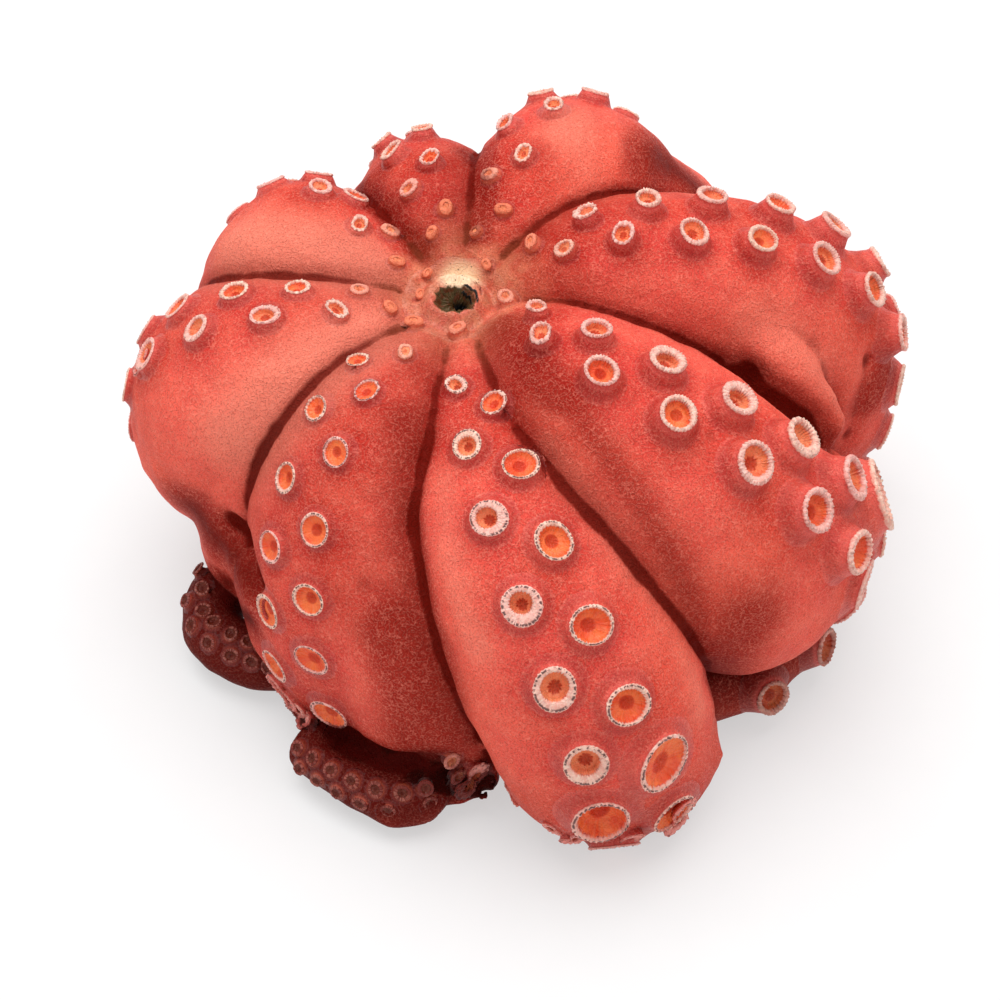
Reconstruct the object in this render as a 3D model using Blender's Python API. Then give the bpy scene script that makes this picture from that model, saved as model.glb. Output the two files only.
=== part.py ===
"""A whole cooked octopus heaped mouth upwards, its eight arms arching out over a crest, down and under.

Radii are metres from the mouth's own upright axis, heights are metres from the floor, angles are
degrees from +X seen from above. The finished solid is moved so that its box stands centred on the origin.
"""
import bmesh
import bpy
import numpy as np
from math import cos, pi, radians, sin
from mathutils import Vector
from mathutils.bvhtree import BVHTree

MOUTH_HEIGHT = 0.0972
MOUTH_RADIUS = 0.0045
CURL_RADIUS = 0.0281
DEPTH_OF_WIDTH = 0.70
THINNEST_HALF = 0.0030
THICKEST_HALF = 0.0271
TAPER_UNDER = 0.40
WEB_MARGIN = 0.0037

VOXEL = 0.0021
SMOOTH_TURNS = 5
BODY_FACES = 3300
BOWL_FROM = 0.0070
STALK_SUNK = 0.0028
TIP_STEP = 0.72
LOWEST_FACING = -0.75
OFF_SKIN = 0.0035
CLEAR_ABOVE = 0.012
FLOOR_SNAP = 0.0026
LAST_SNAP = 0.0009

# Size of a sucker by its place along the arm: shares of the way to the rim, shares of the largest size.
SUCKER_GROWTH = ((0, 0.1, 0.2, 0.35, 0.7, 1.0, 1.25, 1.6, 2.0),
                 (0.22, 0.32, 0.45, 0.62, 0.78, 0.88, 1.0, 0.75, 0.5))

# azimuth: mouth, crest, rim, foot, end of the curl. crest, rim, foot: radius and height.
# half_width: at the rim. spread: half width gained per metre of radius. roll: turn of the sucker strip
# at the crest and at the rim. suckers: place of the first, step between one and the next, reach to each
# side in diameters, the share of the step that grows from the mouth outwards, side of the first,
# largest diameter, stalk in diameters. grown: suckers that are larger than their place in the row,
# by number, with how much larger and their stalk.
ARMS = {
    "front": dict(azimuth=(-85, -80.5, -67.2, -63.5, -62.5), crest=(0.0360, 0.0995), rim=(0.1155, 0.0270),
                  foot=(0.1050, 0.0034), half_width=0.0292, spread=0.45, roll=(-8, -5),
                  suckers=(0.0260, 0.0105, 0.63, 0.29, -1, 0.0140, 0.09),
                  grown={11: (1.28, 0.12), 12: (1.22, 0.12)}),
    "front right": dict(azimuth=(-40.5, -45, -28.2, -15, -22), crest=(0.0392, 0.1080),
                        rim=(0.1116, 0.0424), foot=(0.0745, 0.0110), half_width=0.0338, spread=0.72,
                        roll=(0, 21), suckers=(0.0194, 0.0098, 0.64, 0.10, 1, 0.0140, 0.26),
                        grown={12: (1.50, 0.34), 13: (1.10, 0.14)}),
    "right": dict(azimuth=(25, 13.5, 12.5, 15, 16), crest=(0.0424, 0.1120), rim=(0.1170, 0.0530),
                  foot=(0.0930, 0.0040), half_width=0.0258, spread=0.62, roll=(0, -12),
                  suckers=(0.0183, 0.0091, 0.79, 0.365, 1, 0.0117, 0.26)),
    "back right": dict(azimuth=(64, 60.2, 55, 49, 49), crest=(0.0508, 0.1148), rim=(0.0954, 0.0558),
                       foot=(0.0748, 0.0037), half_width=0.0248, spread=0.43, roll=(25, 20),
                       suckers=(0.0147, 0.0101, 0.81, 0.39, 1, 0.0092, 0.18)),
    "back": dict(azimuth=(99, 99.5, 98, 98, 98), crest=(0.0378, 0.1082), rim=(0.0804, 0.0496),
                 foot=(0.0655, 0.0037), half_width=0.0187, spread=0.42, roll=(16, 12),
                 suckers=(0.0150, 0.0096, 0.74, 0.43, 1, 0.0092, 0.18)),
    "back left": dict(azimuth=(147, 147, 148, 150, 150), crest=(0.0486, 0.1057), rim=(0.0795, 0.0514),
                      foot=(0.0655, 0.0056), half_width=0.0271, spread=0.48, roll=(-34, -26),
                      suckers=(0.0146, 0.0088, 0.70, 0.38, 1, 0.0101, 0.12)),
    "left": dict(azimuth=(188.5, 190, 178.4, 174, 175), crest=(0.0418, 0.1030), rim=(0.0866, 0.0552),
                 foot=(0.0570, 0.0187), half_width=0.0306, spread=0.50, roll=(-3, -18),
                 suckers=(0.0132, 0.0093, 0.71, 0.375, 1, 0.0105, 0.10)),
    "front left": dict(azimuth=(235.6, 236, 244.6, 253, 258), crest=(0.0323, 0.1008),
                       rim=(0.0818, 0.0325), foot=(0.0764, 0.0054), half_width=0.0330, spread=0.50,
                       roll=(-13.5, -18), suckers=(0.0206, 0.0094, 0.775, 0.39, 1, 0.0110, 0.05)),
}

# Lower folds of web seen in the gaps between arms.
WEBS = {
    "right of the back": dict(azimuth=(46, 46, 49, 50, 50), crest=(0.0421, 0.1010),
                              rim=(0.1040, 0.0510), foot=(0.0830, 0.0056), half_width=0.0224, spread=0.40),
    "between the backs": dict(azimuth=(84, 83, 81, 80, 80), crest=(0.0360, 0.0960),
                              rim=(0.0740, 0.0480), foot=(0.0600, 0.0056), half_width=0.0160, spread=0.30),
    "left of the back": dict(azimuth=(124, 124, 124, 124, 124), crest=(0.0393, 0.0950),
                             rim=(0.0748, 0.0468), foot=(0.0655, 0.0056), half_width=0.0187, spread=0.36),
    "left of the front": dict(azimuth=(257, 258, 262, 266, 267), crest=(0.0320, 0.0900),
                              rim=(0.0895, 0.0330), foot=(0.0905, 0.0045), half_width=0.0225, spread=0.40),
    "front of the left": dict(azimuth=(204, 204, 202, 200, 200), crest=(0.0380, 0.0930),
                              rim=(0.0740, 0.0400), foot=(0.0665, 0.0110), half_width=0.0135, spread=0.30),
}

# The head lies squashed beneath the arms: radius and height of its side, from the top to the flat rest.
HEAD_PROFILE = ((0.0080, 0.0925), (0.0281, 0.0905), (0.0486, 0.0842), (0.0655, 0.0692),
                (0.0729, 0.0468), (0.0692, 0.0243), (0.0560, 0.0065), (0.0400, 0.0))
HEAD_SHIFT = (0.0112, -0.0112)

# Ends of arms that come out from below and lie on the floor: path (radius, azimuth, height), half
# thickness at its start and end, first sucker diameter and last, their stalk in diameters, and the turn
# of the sucker side from straight up.
TIPS = {
    "left loop": dict(path=((0.0475, 204, 0.0206), (0.0625, 200, 0.0166), (0.0712, 202, 0.0128),
                            (0.0754, 206.5, 0.0096), (0.0746, 212.5, 0.0090), (0.0702, 219.5, 0.0088),
                            (0.0642, 226.5, 0.0104), (0.0530, 234, 0.0140)),
                      half=(0.0088, 0.0076), sucker=(0.0045, 0.0037), stalk=0.08, facing=-25),
    "front end": dict(path=((0.0740, 262, 0.0250), (0.0826, 263.5, 0.0185), (0.0866, 262.5, 0.0122),
                            (0.0891, 259.5, 0.0092), (0.0886, 254.5, 0.0086), (0.0863, 248.5, 0.0084),
                            (0.0826, 238, 0.0078)),
                      half=(0.0084, 0.0073), sucker=(0.0047, 0.0037), stalk=0.08, facing=60),
    "right return": dict(path=((0.0720, -10, 0.0210), (0.0890, -18, 0.0170), (0.0930, -27, 0.0130),
                               (0.0900, -36, 0.0120), (0.0840, -44, 0.0120), (0.0735, -52, 0.0140)),
                         half=(0.0115, 0.0095), sucker=(0.0116, 0.0096), stalk=0.24, facing=115),
}

# The rounded corner of web that hangs free beside the right arm: path as for the ends, half thickness.
WEB_CORNER = dict(path=((0.0460, 9, 0.0900), (0.0618, 5, 0.0885), (0.0743, -2, 0.0825),
                        (0.0848, -8, 0.0750), (0.0915, -9.5, 0.0665), (0.0945, -8.5, 0.0570)),
                  half=(0.0155, 0.0072))

SKIN = ((0.56, 0.105, 0.075), 0.42)


def clear_scene():
    for thing in list(bpy.data.objects):
        bpy.data.objects.remove(thing, do_unlink=True)


def ease(t):
    t = np.clip(t, 0, 1)
    return t * t * (3 - 2 * t)


def unit(rows):
    return rows / np.linalg.norm(rows, axis=-1, keepdims=True)


def upright_line(arm, count=60):
    """Radius and height of the sucker side, with its station: 0 mouth, 1 crest, 2 rim, 3 foot, 4 curl."""
    crest_radius, crest_height = arm["crest"]
    reach, rim_height = arm["rim"]
    foot_radius, foot_height = arm["foot"]
    u = np.linspace(0, 1, count)
    turn = u * pi / 2
    rise = (MOUTH_RADIUS + (crest_radius - MOUTH_RADIUS) * u,
            MOUTH_HEIGHT + (crest_height - MOUTH_HEIGHT) * np.sin(turn))
    fall = (crest_radius + (reach - crest_radius) * np.sin(turn),
            rim_height + (crest_height - rim_height) * np.cos(turn))
    tuck = (foot_radius + (reach - foot_radius) * np.cos(turn),
            rim_height - (rim_height - foot_height) * np.sin(turn))
    curl = (foot_radius - CURL_RADIUS * np.sin(turn), foot_height + CURL_RADIUS * (1 - np.cos(turn)))
    line = np.concatenate([np.stack(part, 1)[:-1] for part in (rise, fall, tuck, curl)])
    station = np.concatenate([u[:-1] + k for k in range(4)])
    return line, station


def even(line, values, count):
    """The same line with evenly spaced points, the values carried along, and the way gone at each."""
    gone = np.concatenate([[0], np.cumsum(np.linalg.norm(np.diff(line, axis=0), axis=1))])
    way = np.linspace(0, gone[-1], count)
    points = np.stack([np.interp(way, gone, line[:, k]) for k in range(line.shape[1])], 1)
    return points, np.interp(way, gone, values), way


def eased_stations(station, values):
    """Values given at the five stations, blended along the arm by a running mean."""
    raw = np.interp(station, range(5), values)
    span = max(3, len(raw) // 8)
    padded = np.concatenate([[raw[0]] * span, raw, [raw[-1]] * span])
    return np.convolve(padded, np.ones(span) / span, "same")[span:-span]


def arm_frames(arm, count):
    """Centre, directions and half sizes of the arm's sections, from the mouth to the end of the curl."""
    line, station, way = even(*upright_line(arm), count)
    azimuth = np.radians(eased_stations(station, arm["azimuth"]))
    radius, height = line[:, 0], line[:, 1]
    outer = np.stack([radius * np.cos(azimuth), radius * np.sin(azimuth), height], 1)
    along = unit(np.gradient(outer, axis=0))
    side = np.stack([-np.sin(azimuth), np.cos(azimuth), 0 * azimuth], 1)
    side = unit(side - np.sum(side * along, 1)[:, None] * along)
    face = np.cross(along, side)
    if face[count // 6, 2] < 0:
        face = -face
    full = arm["half_width"]
    young = arm["spread"] * radius + WEB_MARGIN
    half_width = (young ** -4.0 + full ** -4.0) ** -0.25
    at_rim = half_width[np.argmin(abs(station - 2))]
    under = at_rim * (1 - TAPER_UNDER * ease((station - 2) / 1.6))
    half_width = np.where(station > 2, under, half_width)
    half_thick = np.minimum(DEPTH_OF_WIDTH * half_width + THINNEST_HALF, THICKEST_HALF)
    strip = arm.get("roll", (0, 0))
    roll = np.radians(np.interp(station, [0, 1, 2, 4], [0, strip[0], strip[1], strip[1]]))
    return dict(centre=outer - face * half_thick[:, None], side=side, face=face, half_width=half_width,
                half_thick=half_thick, roll=roll, way=way, to_rim=np.interp(2, station, way))


def rings(frames, points):
    turn = np.linspace(0, 2 * pi, points, endpoint=False)
    out = frames["half_thick"][:, None, None] * np.cos(turn)[None, :, None] * frames["face"][:, None]
    across = frames["half_width"][:, None, None] * np.sin(turn)[None, :, None] * frames["side"][:, None]
    return frames["centre"][:, None] + out + across


def tube(into, ring_points):
    """A closed skin through rings of points, each end closed by a fan, added to a mesh under way."""
    count, around = ring_points.shape[:2]
    made = [[into.verts.new(p) for p in ring] for ring in ring_points]
    for a, b in zip(made[:-1], made[1:]):
        for k in range(around):
            into.faces.new((a[k], a[(k + 1) % around], b[(k + 1) % around], b[k]))
    for ring in (made[0], made[-1]):
        middle = into.verts.new(sum((v.co for v in ring), Vector()) / around)
        for k in range(around):
            into.faces.new((middle, ring[k], ring[(k + 1) % around]))


def head_rings(around=48):
    """Rings of the squashed head: round at the top, an uneven oval where it spreads on the floor."""
    turn = np.linspace(0, 2 * pi, around, endpoint=False)
    oval = 0.09 * np.cos(2 * turn - 1.1) + 0.05 * np.cos(3 * turn + 0.6) + 0.03 * np.cos(5 * turn)
    made = []
    for radius, height in HEAD_PROFILE:
        uneven = 1 + oval * ease((MOUTH_HEIGHT - height) / MOUTH_HEIGHT)
        made.append(np.stack([HEAD_SHIFT[0] + radius * uneven * np.cos(turn),
                              HEAD_SHIFT[1] + radius * uneven * np.sin(turn), 0 * turn + height], 1))
    return np.array(made)


def through(points, count):
    """An even curve through the points: Catmull and Rom's spline."""
    p = np.array(points)
    p = np.concatenate([[2 * p[0] - p[1]], p, [2 * p[-1] - p[-2]]])
    made = []
    for i in range(1, len(p) - 2):
        for t in np.linspace(0, 1, 12, endpoint=False):
            made.append(0.5 * (2 * p[i] + (p[i + 1] - p[i - 1]) * t
                               + (2 * p[i - 1] - 5 * p[i] + 4 * p[i + 1] - p[i + 2]) * t ** 2
                               + (3 * p[i] - p[i - 1] - 3 * p[i + 1] + p[i + 2]) * t ** 3))
    made.append(p[-2])
    made = np.array(made)
    return even(made, np.zeros(len(made)), count)[0]


def tip_frames(tip, count):
    """Sections of an arm's end along its path on the floor, rounded off at the last."""
    corners = [(r * cos(radians(a)), r * sin(radians(a)), z) for r, a, z in tip["path"]]
    line = through(corners, count)
    gone = np.linspace(0, 1, count)
    start, end = tip["half"]
    half = start + (end - start) * gone
    half = half * np.sqrt(np.clip(1 - np.clip((gone - 0.93) / 0.0705, 0, 1) ** 2, 0.02, 1))
    line[:, 2] = np.maximum(line[:, 2], 0.92 * half)
    along = unit(np.gradient(line, axis=0))
    side = unit(np.cross(np.array([0, 0, 1.0]), along))
    up = np.cross(along, side)
    lean = radians(tip.get("facing", 0))
    face = unit(cos(lean) * up + sin(lean) * side)
    across = np.cross(along, face)
    way = gone * np.sum(np.linalg.norm(np.diff(line, axis=0), axis=1))
    return dict(centre=line, side=across, face=face, half_width=half, half_thick=half, way=way)


def flesh():
    """Arms, webs, head and floor tips as closed skins that overlap, in one mesh."""
    raw = bmesh.new()
    for arm in list(ARMS.values()) + list(WEBS.values()):
        tube(raw, rings(arm_frames(arm, 56), 36))
    tube(raw, head_rings())
    for tip in list(TIPS.values()) + [WEB_CORNER]:
        tube(raw, rings(tip_frames(tip, 48), 20))
    for vert in raw.verts:
        vert.co.z = max(vert.co.z, 0.0)
    bmesh.ops.recalc_face_normals(raw, faces=raw.faces)
    mesh = bpy.data.meshes.new("flesh")
    raw.to_mesh(mesh)
    raw.free()
    return mesh


def run_modifiers(thing):
    """The thing's mesh with its modifiers worked out, in place of the mesh before."""
    graph = bpy.context.evaluated_depsgraph_get()
    mesh = bpy.data.meshes.new_from_object(thing.evaluated_get(graph))
    thing.modifiers.clear()
    thing.data = mesh


def keep_largest(mesh):
    """Only the piece with the most corners stays: sealed hollows and loose scraps go."""
    work = bmesh.new()
    work.from_mesh(mesh)
    left = set(work.verts)
    pieces = []
    while left:
        stack = [left.pop()]
        piece = list(stack)
        while stack:
            for edge in stack.pop().link_edges:
                for vert in edge.verts:
                    if vert in left:
                        left.remove(vert)
                        stack.append(vert)
                        piece.append(vert)
        pieces.append(piece)
    pieces.sort(key=len)
    for piece in pieces[:-1]:
        bmesh.ops.delete(work, geom=piece, context="VERTS")
    work.to_mesh(mesh)
    work.free()


def set_on_floor(mesh, reach):
    for vert in mesh.vertices:
        if vert.co.z < reach:
            vert.co.z = 0.0


def body():
    """One closed skin round all the flesh, soft in its folds and flat where it rests."""
    thing = bpy.data.objects.new("octopus", flesh())
    bpy.context.scene.collection.objects.link(thing)
    fuse = thing.modifiers.new("fuse", "REMESH")
    fuse.mode = "VOXEL"
    fuse.voxel_size = VOXEL
    soften = thing.modifiers.new("soften", "SMOOTH")
    soften.factor = 0.5
    soften.iterations = SMOOTH_TURNS
    run_modifiers(thing)
    keep_largest(thing.data)
    set_on_floor(thing.data, FLOOR_SNAP)
    thin = thing.modifiers.new("thin", "DECIMATE")
    thin.ratio = BODY_FACES / (2 * len(thing.data.polygons))
    run_modifiers(thing)
    set_on_floor(thing.data, LAST_SNAP)
    return thing


def sucker_spots(arm):
    """Middle, outward direction, diameter and stalk of the arm's suckers, two rows in turn."""
    first, step, lateral, growth, hand, largest, usual_stalk = arm["suckers"]
    grown = arm.get("grown", {})
    f = arm_frames(arm, 240)
    spots = []
    gone = first
    while gone < f["way"][-1] - 0.010:
        larger, stalk = grown.get(len(spots), (1, usual_stalk))
        across = larger * largest * np.interp(gone / f["to_rim"], *SUCKER_GROWTH)
        k = int(np.searchsorted(f["way"], gone))
        turn = f["roll"][k] + hand * lateral * across / f["half_width"][k]
        face, side = f["face"][k], f["side"][k]
        wide, thick = f["half_width"][k], f["half_thick"][k]
        place = f["centre"][k] + thick * cos(turn) * face + wide * sin(turn) * side
        out = unit(cos(turn) / thick * face + sin(turn) / wide * side)
        spots.append((place, out, across, stalk))
        gone += step * (1 - growth + growth * min(1, gone / f["to_rim"] / 0.40))
        hand = -hand
    return spots


def tip_spots(tip):
    """Two close rows of small suckers along an arm's end on the floor."""
    f = tip_frames(tip, 120)
    first, last = tip["sucker"]
    spots = []
    gone, hand = 0.004, 1
    while gone < f["way"][-1] - 0.003:
        across = first + (last - first) * gone / f["way"][-1]
        k = int(np.searchsorted(f["way"], gone))
        turn = hand * 0.62 * across / f["half_width"][k]
        out = cos(turn) * f["face"][k] + sin(turn) * f["side"][k]
        spots.append((f["centre"][k] + out * f["half_width"][k], out, across, tip["stalk"]))
        gone += TIP_STEP * across
        hand = -hand
    return spots


def free_spots(skin):
    """The spots that lie on the outside of the body, moved on to it, and clear of one another."""
    tree = BVHTree.FromPolygons([v.co for v in skin.vertices], [p.vertices for p in skin.polygons])
    wanted = [spot for arm in ARMS.values() for spot in sucker_spots(arm)]
    wanted += [spot for tip in TIPS.values() for spot in tip_spots(tip)]
    kept = []
    for place, out, across, stalk in wanted:
        near, normal, face, gap = tree.find_nearest(Vector(place))
        out = Vector(out)
        if gap > OFF_SKIN or normal.dot(out) < 0.5 or near.z < 0.35 * across + 0.0012:
            continue
        axis = (out * 0.5 + normal * 0.5).normalized()
        if tree.ray_cast(near + axis * OFF_SKIN, axis, CLEAR_ABOVE)[0] is not None:
            continue
        if axis.z < LOWEST_FACING:
            continue
        clash = [s for s in kept if (s[0] - near).length < 0.47 * (s[2] + across)]
        if not clash:
            kept.append((near, axis, across, stalk))
    return kept


def cup(place, axis, across, stalk):
    """A sucker: a short stalk sunk in the skin, a rim, and a bowl where it is large enough."""
    large = across > BOWL_FROM
    around = 7 if large else 6
    radius = across / 2
    top = stalk * across + 0.0004
    levels = [(0.78 * radius, -STALK_SUNK), (radius, top)]
    if large:
        levels.append((0.66 * radius, top + 0.03 * across))
    first = axis.orthogonal().normalized()
    second = axis.cross(first)
    mesh = bmesh.new()
    made = []
    for r, h in levels:
        ring = [first * (r * cos(2 * pi * k / around)) + second * (r * sin(2 * pi * k / around))
                for k in range(around)]
        made.append([mesh.verts.new(place + p + axis * h) for p in ring])
    for a, b in zip(made[:-1], made[1:]):
        for k in range(around):
            mesh.faces.new((a[k], a[(k + 1) % around], b[(k + 1) % around], b[k]))
    mesh.faces.new(list(reversed(made[0])))
    if large:
        bowl = mesh.verts.new(place + axis * (top - 0.18 * across))
        for k in range(around):
            mesh.faces.new((bowl, made[-1][k], made[-1][(k + 1) % around]))
    else:
        mesh.faces.new(made[-1])
    bmesh.ops.recalc_face_normals(mesh, faces=mesh.faces)
    out = bpy.data.meshes.new("sucker")
    mesh.to_mesh(out)
    mesh.free()
    return out


def fuse_suckers(thing):
    """One union of the body with every sucker, after which the sucker objects go."""
    group = bpy.data.collections.new("suckers")
    bpy.context.scene.collection.children.link(group)
    print("body triangles", sum(len(p.vertices) - 2 for p in thing.data.polygons))
    for number, spot in enumerate(free_spots(thing.data)):
        group.objects.link(bpy.data.objects.new(f"sucker {number}", cup(*spot)))
    print("suckers", len(group.objects))
    join = thing.modifiers.new("suckers", "BOOLEAN")
    join.operation = "UNION"
    join.operand_type = "COLLECTION"
    join.collection = group
    join.solver = "MANIFOLD"
    run_modifiers(thing)
    keep_largest(thing.data)
    for sucker in list(group.objects):
        bpy.data.objects.remove(sucker, do_unlink=True)
    bpy.data.collections.remove(group)


def centre_on_origin(mesh):
    corners = np.array([v.co for v in mesh.vertices])
    low, high = corners.min(0), corners.max(0)
    middle = Vector(((low[0] + high[0]) / 2, (low[1] + high[1]) / 2, low[2]))
    for vert in mesh.vertices:
        vert.co -= middle
    print("mouth axis at", round(-middle.x, 5), round(-middle.y, 5), "lowered by", round(middle.z, 5))


def skin_material():
    colour, rough = SKIN
    material = bpy.data.materials.new("cooked skin")
    material.use_nodes = True
    shader = material.node_tree.nodes["Principled BSDF"]
    shader.inputs["Base Color"].default_value = (*colour, 1.0)
    shader.inputs["Roughness"].default_value = rough
    shader.inputs["Metallic"].default_value = 0.0
    material.diffuse_color = (*colour, 1.0)
    return material


def main():
    clear_scene()
    octopus = body()
    fuse_suckers(octopus)
    centre_on_origin(octopus.data)
    octopus.data.materials.clear()
    octopus.data.materials.append(skin_material())


main()
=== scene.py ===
"""Looks of a whole cooked octopus: wrinkled skin, suckers made one by one, the mouth, floor and light.

The forms follow the solid: radii are metres from the mouth's own upright axis, heights are metres
from the floor, angles are degrees from +X seen from above.
"""
from math import cos, pi, radians, sin

import bmesh
import bpy
import numpy as np
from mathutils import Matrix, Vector, noise
from mathutils.bvhtree import BVHTree


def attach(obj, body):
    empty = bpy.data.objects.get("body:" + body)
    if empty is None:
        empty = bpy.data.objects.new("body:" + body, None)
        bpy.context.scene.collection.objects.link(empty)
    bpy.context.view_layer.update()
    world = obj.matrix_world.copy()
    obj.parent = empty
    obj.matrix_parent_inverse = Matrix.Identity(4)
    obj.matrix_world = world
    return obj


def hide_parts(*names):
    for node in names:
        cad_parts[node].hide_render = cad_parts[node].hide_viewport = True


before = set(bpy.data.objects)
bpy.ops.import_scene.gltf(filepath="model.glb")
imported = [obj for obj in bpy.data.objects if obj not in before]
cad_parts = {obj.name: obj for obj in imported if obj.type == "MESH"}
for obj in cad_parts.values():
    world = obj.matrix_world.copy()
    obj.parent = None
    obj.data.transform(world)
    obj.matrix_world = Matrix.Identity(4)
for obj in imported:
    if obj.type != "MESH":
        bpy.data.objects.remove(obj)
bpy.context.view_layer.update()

BODY = "root"
NODE = "octopus"

# Where the mouth's axis stands in the solid's frame.
MOUTH_AXIS = np.array([-0.01528, 0.01346, 0.0])

MOUTH_HEIGHT = 0.0972
MOUTH_RADIUS = 0.0045
CURL_RADIUS = 0.0281
DEPTH_OF_WIDTH = 0.7
THINNEST_HALF = 0.003
THICKEST_HALF = 0.0271
TAPER_UNDER = 0.4
WEB_MARGIN = 0.0037

# Rings of the tubes and points of a ring: for the skin, then coarser to measure distances to.
ARM_GRID = (120, 76)
END_GRID = (96, 40)
COARSE_ARM_GRID = (80, 40)
COARSE_END_GRID = (70, 30)
COARSE_CORNER_GRID = (60, 30)

VOXEL = 0.00128
RELAX_TURNS = 12
TIP_STEP = 0.72
END_LATERAL = 0.62

# Sections that the suckers are counted along, where they start, and the bare length at the end.
ARM_STEPS = 240
END_STEPS = 120
END_FIRST = 0.004
ARM_BARE = 0.01
END_BARE = 0.003

LOWEST_FACING = -0.75
OFF_SKIN = 0.0035
CLEAR_ABOVE = 0.012
CLEAR_OF_MOUTH = 0.0128

SUCKER_GROWTH = ((0, 0.1, 0.2, 0.35, 0.7, 1.0, 1.25, 1.6, 2.0),
                 (0.22, 0.32, 0.45, 0.62, 0.78, 0.88, 1.0, 0.75, 0.5))

# The arms as in the solid, and rims: breadth of the rim in radii for one row and for the other.
ARMS = {
    "front": dict(azimuth=(-85, -80.5, -67.2, -63.5, -62.5), crest=(0.036, 0.0995), rim=(0.1155, 0.027),
        foot=(0.105, 0.0034), half_width=0.0292, spread=0.45, roll=(-8, -5),
        suckers=(0.026, 0.0105, 0.63, 0.29, -1, 0.014, 0.09), grown={11: (1.28, 0.12), 12: (1.22, 0.12)},
        rims=(0.4, 0.16), dark_ring=0.9),
    "front right": dict(azimuth=(-40.5, -45, -28.2, -15, -22), crest=(0.0392, 0.108),
        rim=(0.1116, 0.0424), foot=(0.0745, 0.011), half_width=0.0338, spread=0.72, roll=(0, 21),
        suckers=(0.0194, 0.0098, 0.64, 0.1, 1, 0.014, 0.26), grown={12: (1.5, 0.34), 13: (1.1, 0.14)},
        rims=(0.25, 0.33), dark_ring=0.35),
    "right": dict(azimuth=(25, 13.5, 12.5, 15, 16), crest=(0.0424, 0.112), rim=(0.117, 0.053),
        foot=(0.093, 0.004), half_width=0.0258, spread=0.62, roll=(0, -12),
        suckers=(0.0183, 0.0091, 0.79, 0.365, 1, 0.0117, 0.26), rims=(0.24, 0.28), dark_ring=0.3),
    "back right": dict(azimuth=(64, 60.2, 55, 49, 49), crest=(0.0508, 0.1148), rim=(0.0954, 0.0558),
        foot=(0.0748, 0.0037), half_width=0.0248, spread=0.43, roll=(25, 20),
        suckers=(0.0147, 0.0101, 0.81, 0.39, 1, 0.0092, 0.18), rims=(0.26, 0.32), dark_ring=0.3),
    "back": dict(azimuth=(99, 99.5, 98, 98, 98), crest=(0.0378, 0.1082), rim=(0.0804, 0.0496),
        foot=(0.0655, 0.0037), half_width=0.0187, spread=0.42, roll=(16, 12),
        suckers=(0.015, 0.0096, 0.74, 0.43, 1, 0.0092, 0.18), rims=(0.26, 0.32), dark_ring=0.3),
    "back left": dict(azimuth=(147, 147, 148, 150, 150), crest=(0.0486, 0.1057), rim=(0.0795, 0.0514),
        foot=(0.0655, 0.0056), half_width=0.0271, spread=0.48, roll=(-34, -26),
        suckers=(0.0146, 0.0088, 0.7, 0.38, 1, 0.0101, 0.12), rims=(0.28, 0.34), dark_ring=0.4),
    "left": dict(azimuth=(188.5, 190, 178.4, 174, 175), crest=(0.0418, 0.103), rim=(0.0866, 0.0552),
        foot=(0.057, 0.0187), half_width=0.0306, spread=0.5, roll=(-3, -18),
        suckers=(0.0132, 0.0093, 0.71, 0.375, 1, 0.0105, 0.1), rims=(0.26, 0.3), dark_ring=0.5),
    "front left": dict(azimuth=(235.6, 236, 244.6, 253, 258), crest=(0.0323, 0.1008),
        rim=(0.0818, 0.0325), foot=(0.0764, 0.0054), half_width=0.033, spread=0.5, roll=(-13.5, -18),
        suckers=(0.0206, 0.0094, 0.775, 0.39, 1, 0.011, 0.05), rims=(0.17, 0.15), dark_ring=1.0),
}

WEBS = {
    "right of the back": dict(azimuth=(46, 46, 49, 50, 50), crest=(0.0421, 0.101), rim=(0.104, 0.051),
        foot=(0.083, 0.0056), half_width=0.0224, spread=0.4),
    "between the backs": dict(azimuth=(84, 83, 81, 80, 80), crest=(0.036, 0.096), rim=(0.074, 0.048),
        foot=(0.06, 0.0056), half_width=0.016, spread=0.3),
    "left of the back": dict(azimuth=(124, 124, 124, 124, 124), crest=(0.0393, 0.095),
        rim=(0.0748, 0.0468), foot=(0.0655, 0.0056), half_width=0.0187, spread=0.36),
    "left of the front": dict(azimuth=(257, 258, 262, 266, 267), crest=(0.032, 0.09), rim=(0.0895, 0.033),
        foot=(0.0905, 0.0045), half_width=0.0225, spread=0.4),
    "front of the left": dict(azimuth=(204, 204, 202, 200, 200), crest=(0.038, 0.093), rim=(0.074, 0.04),
        foot=(0.0665, 0.011), half_width=0.0135, spread=0.3),
}

HEAD_PROFILE = ((0.008, 0.0925), (0.0281, 0.0905), (0.0486, 0.0842), (0.0655, 0.0692),
                (0.0729, 0.0468), (0.0692, 0.0243), (0.056, 0.0065), (0.04, 0.0))
HEAD_SHIFT = (0.0112, -0.0112)

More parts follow.
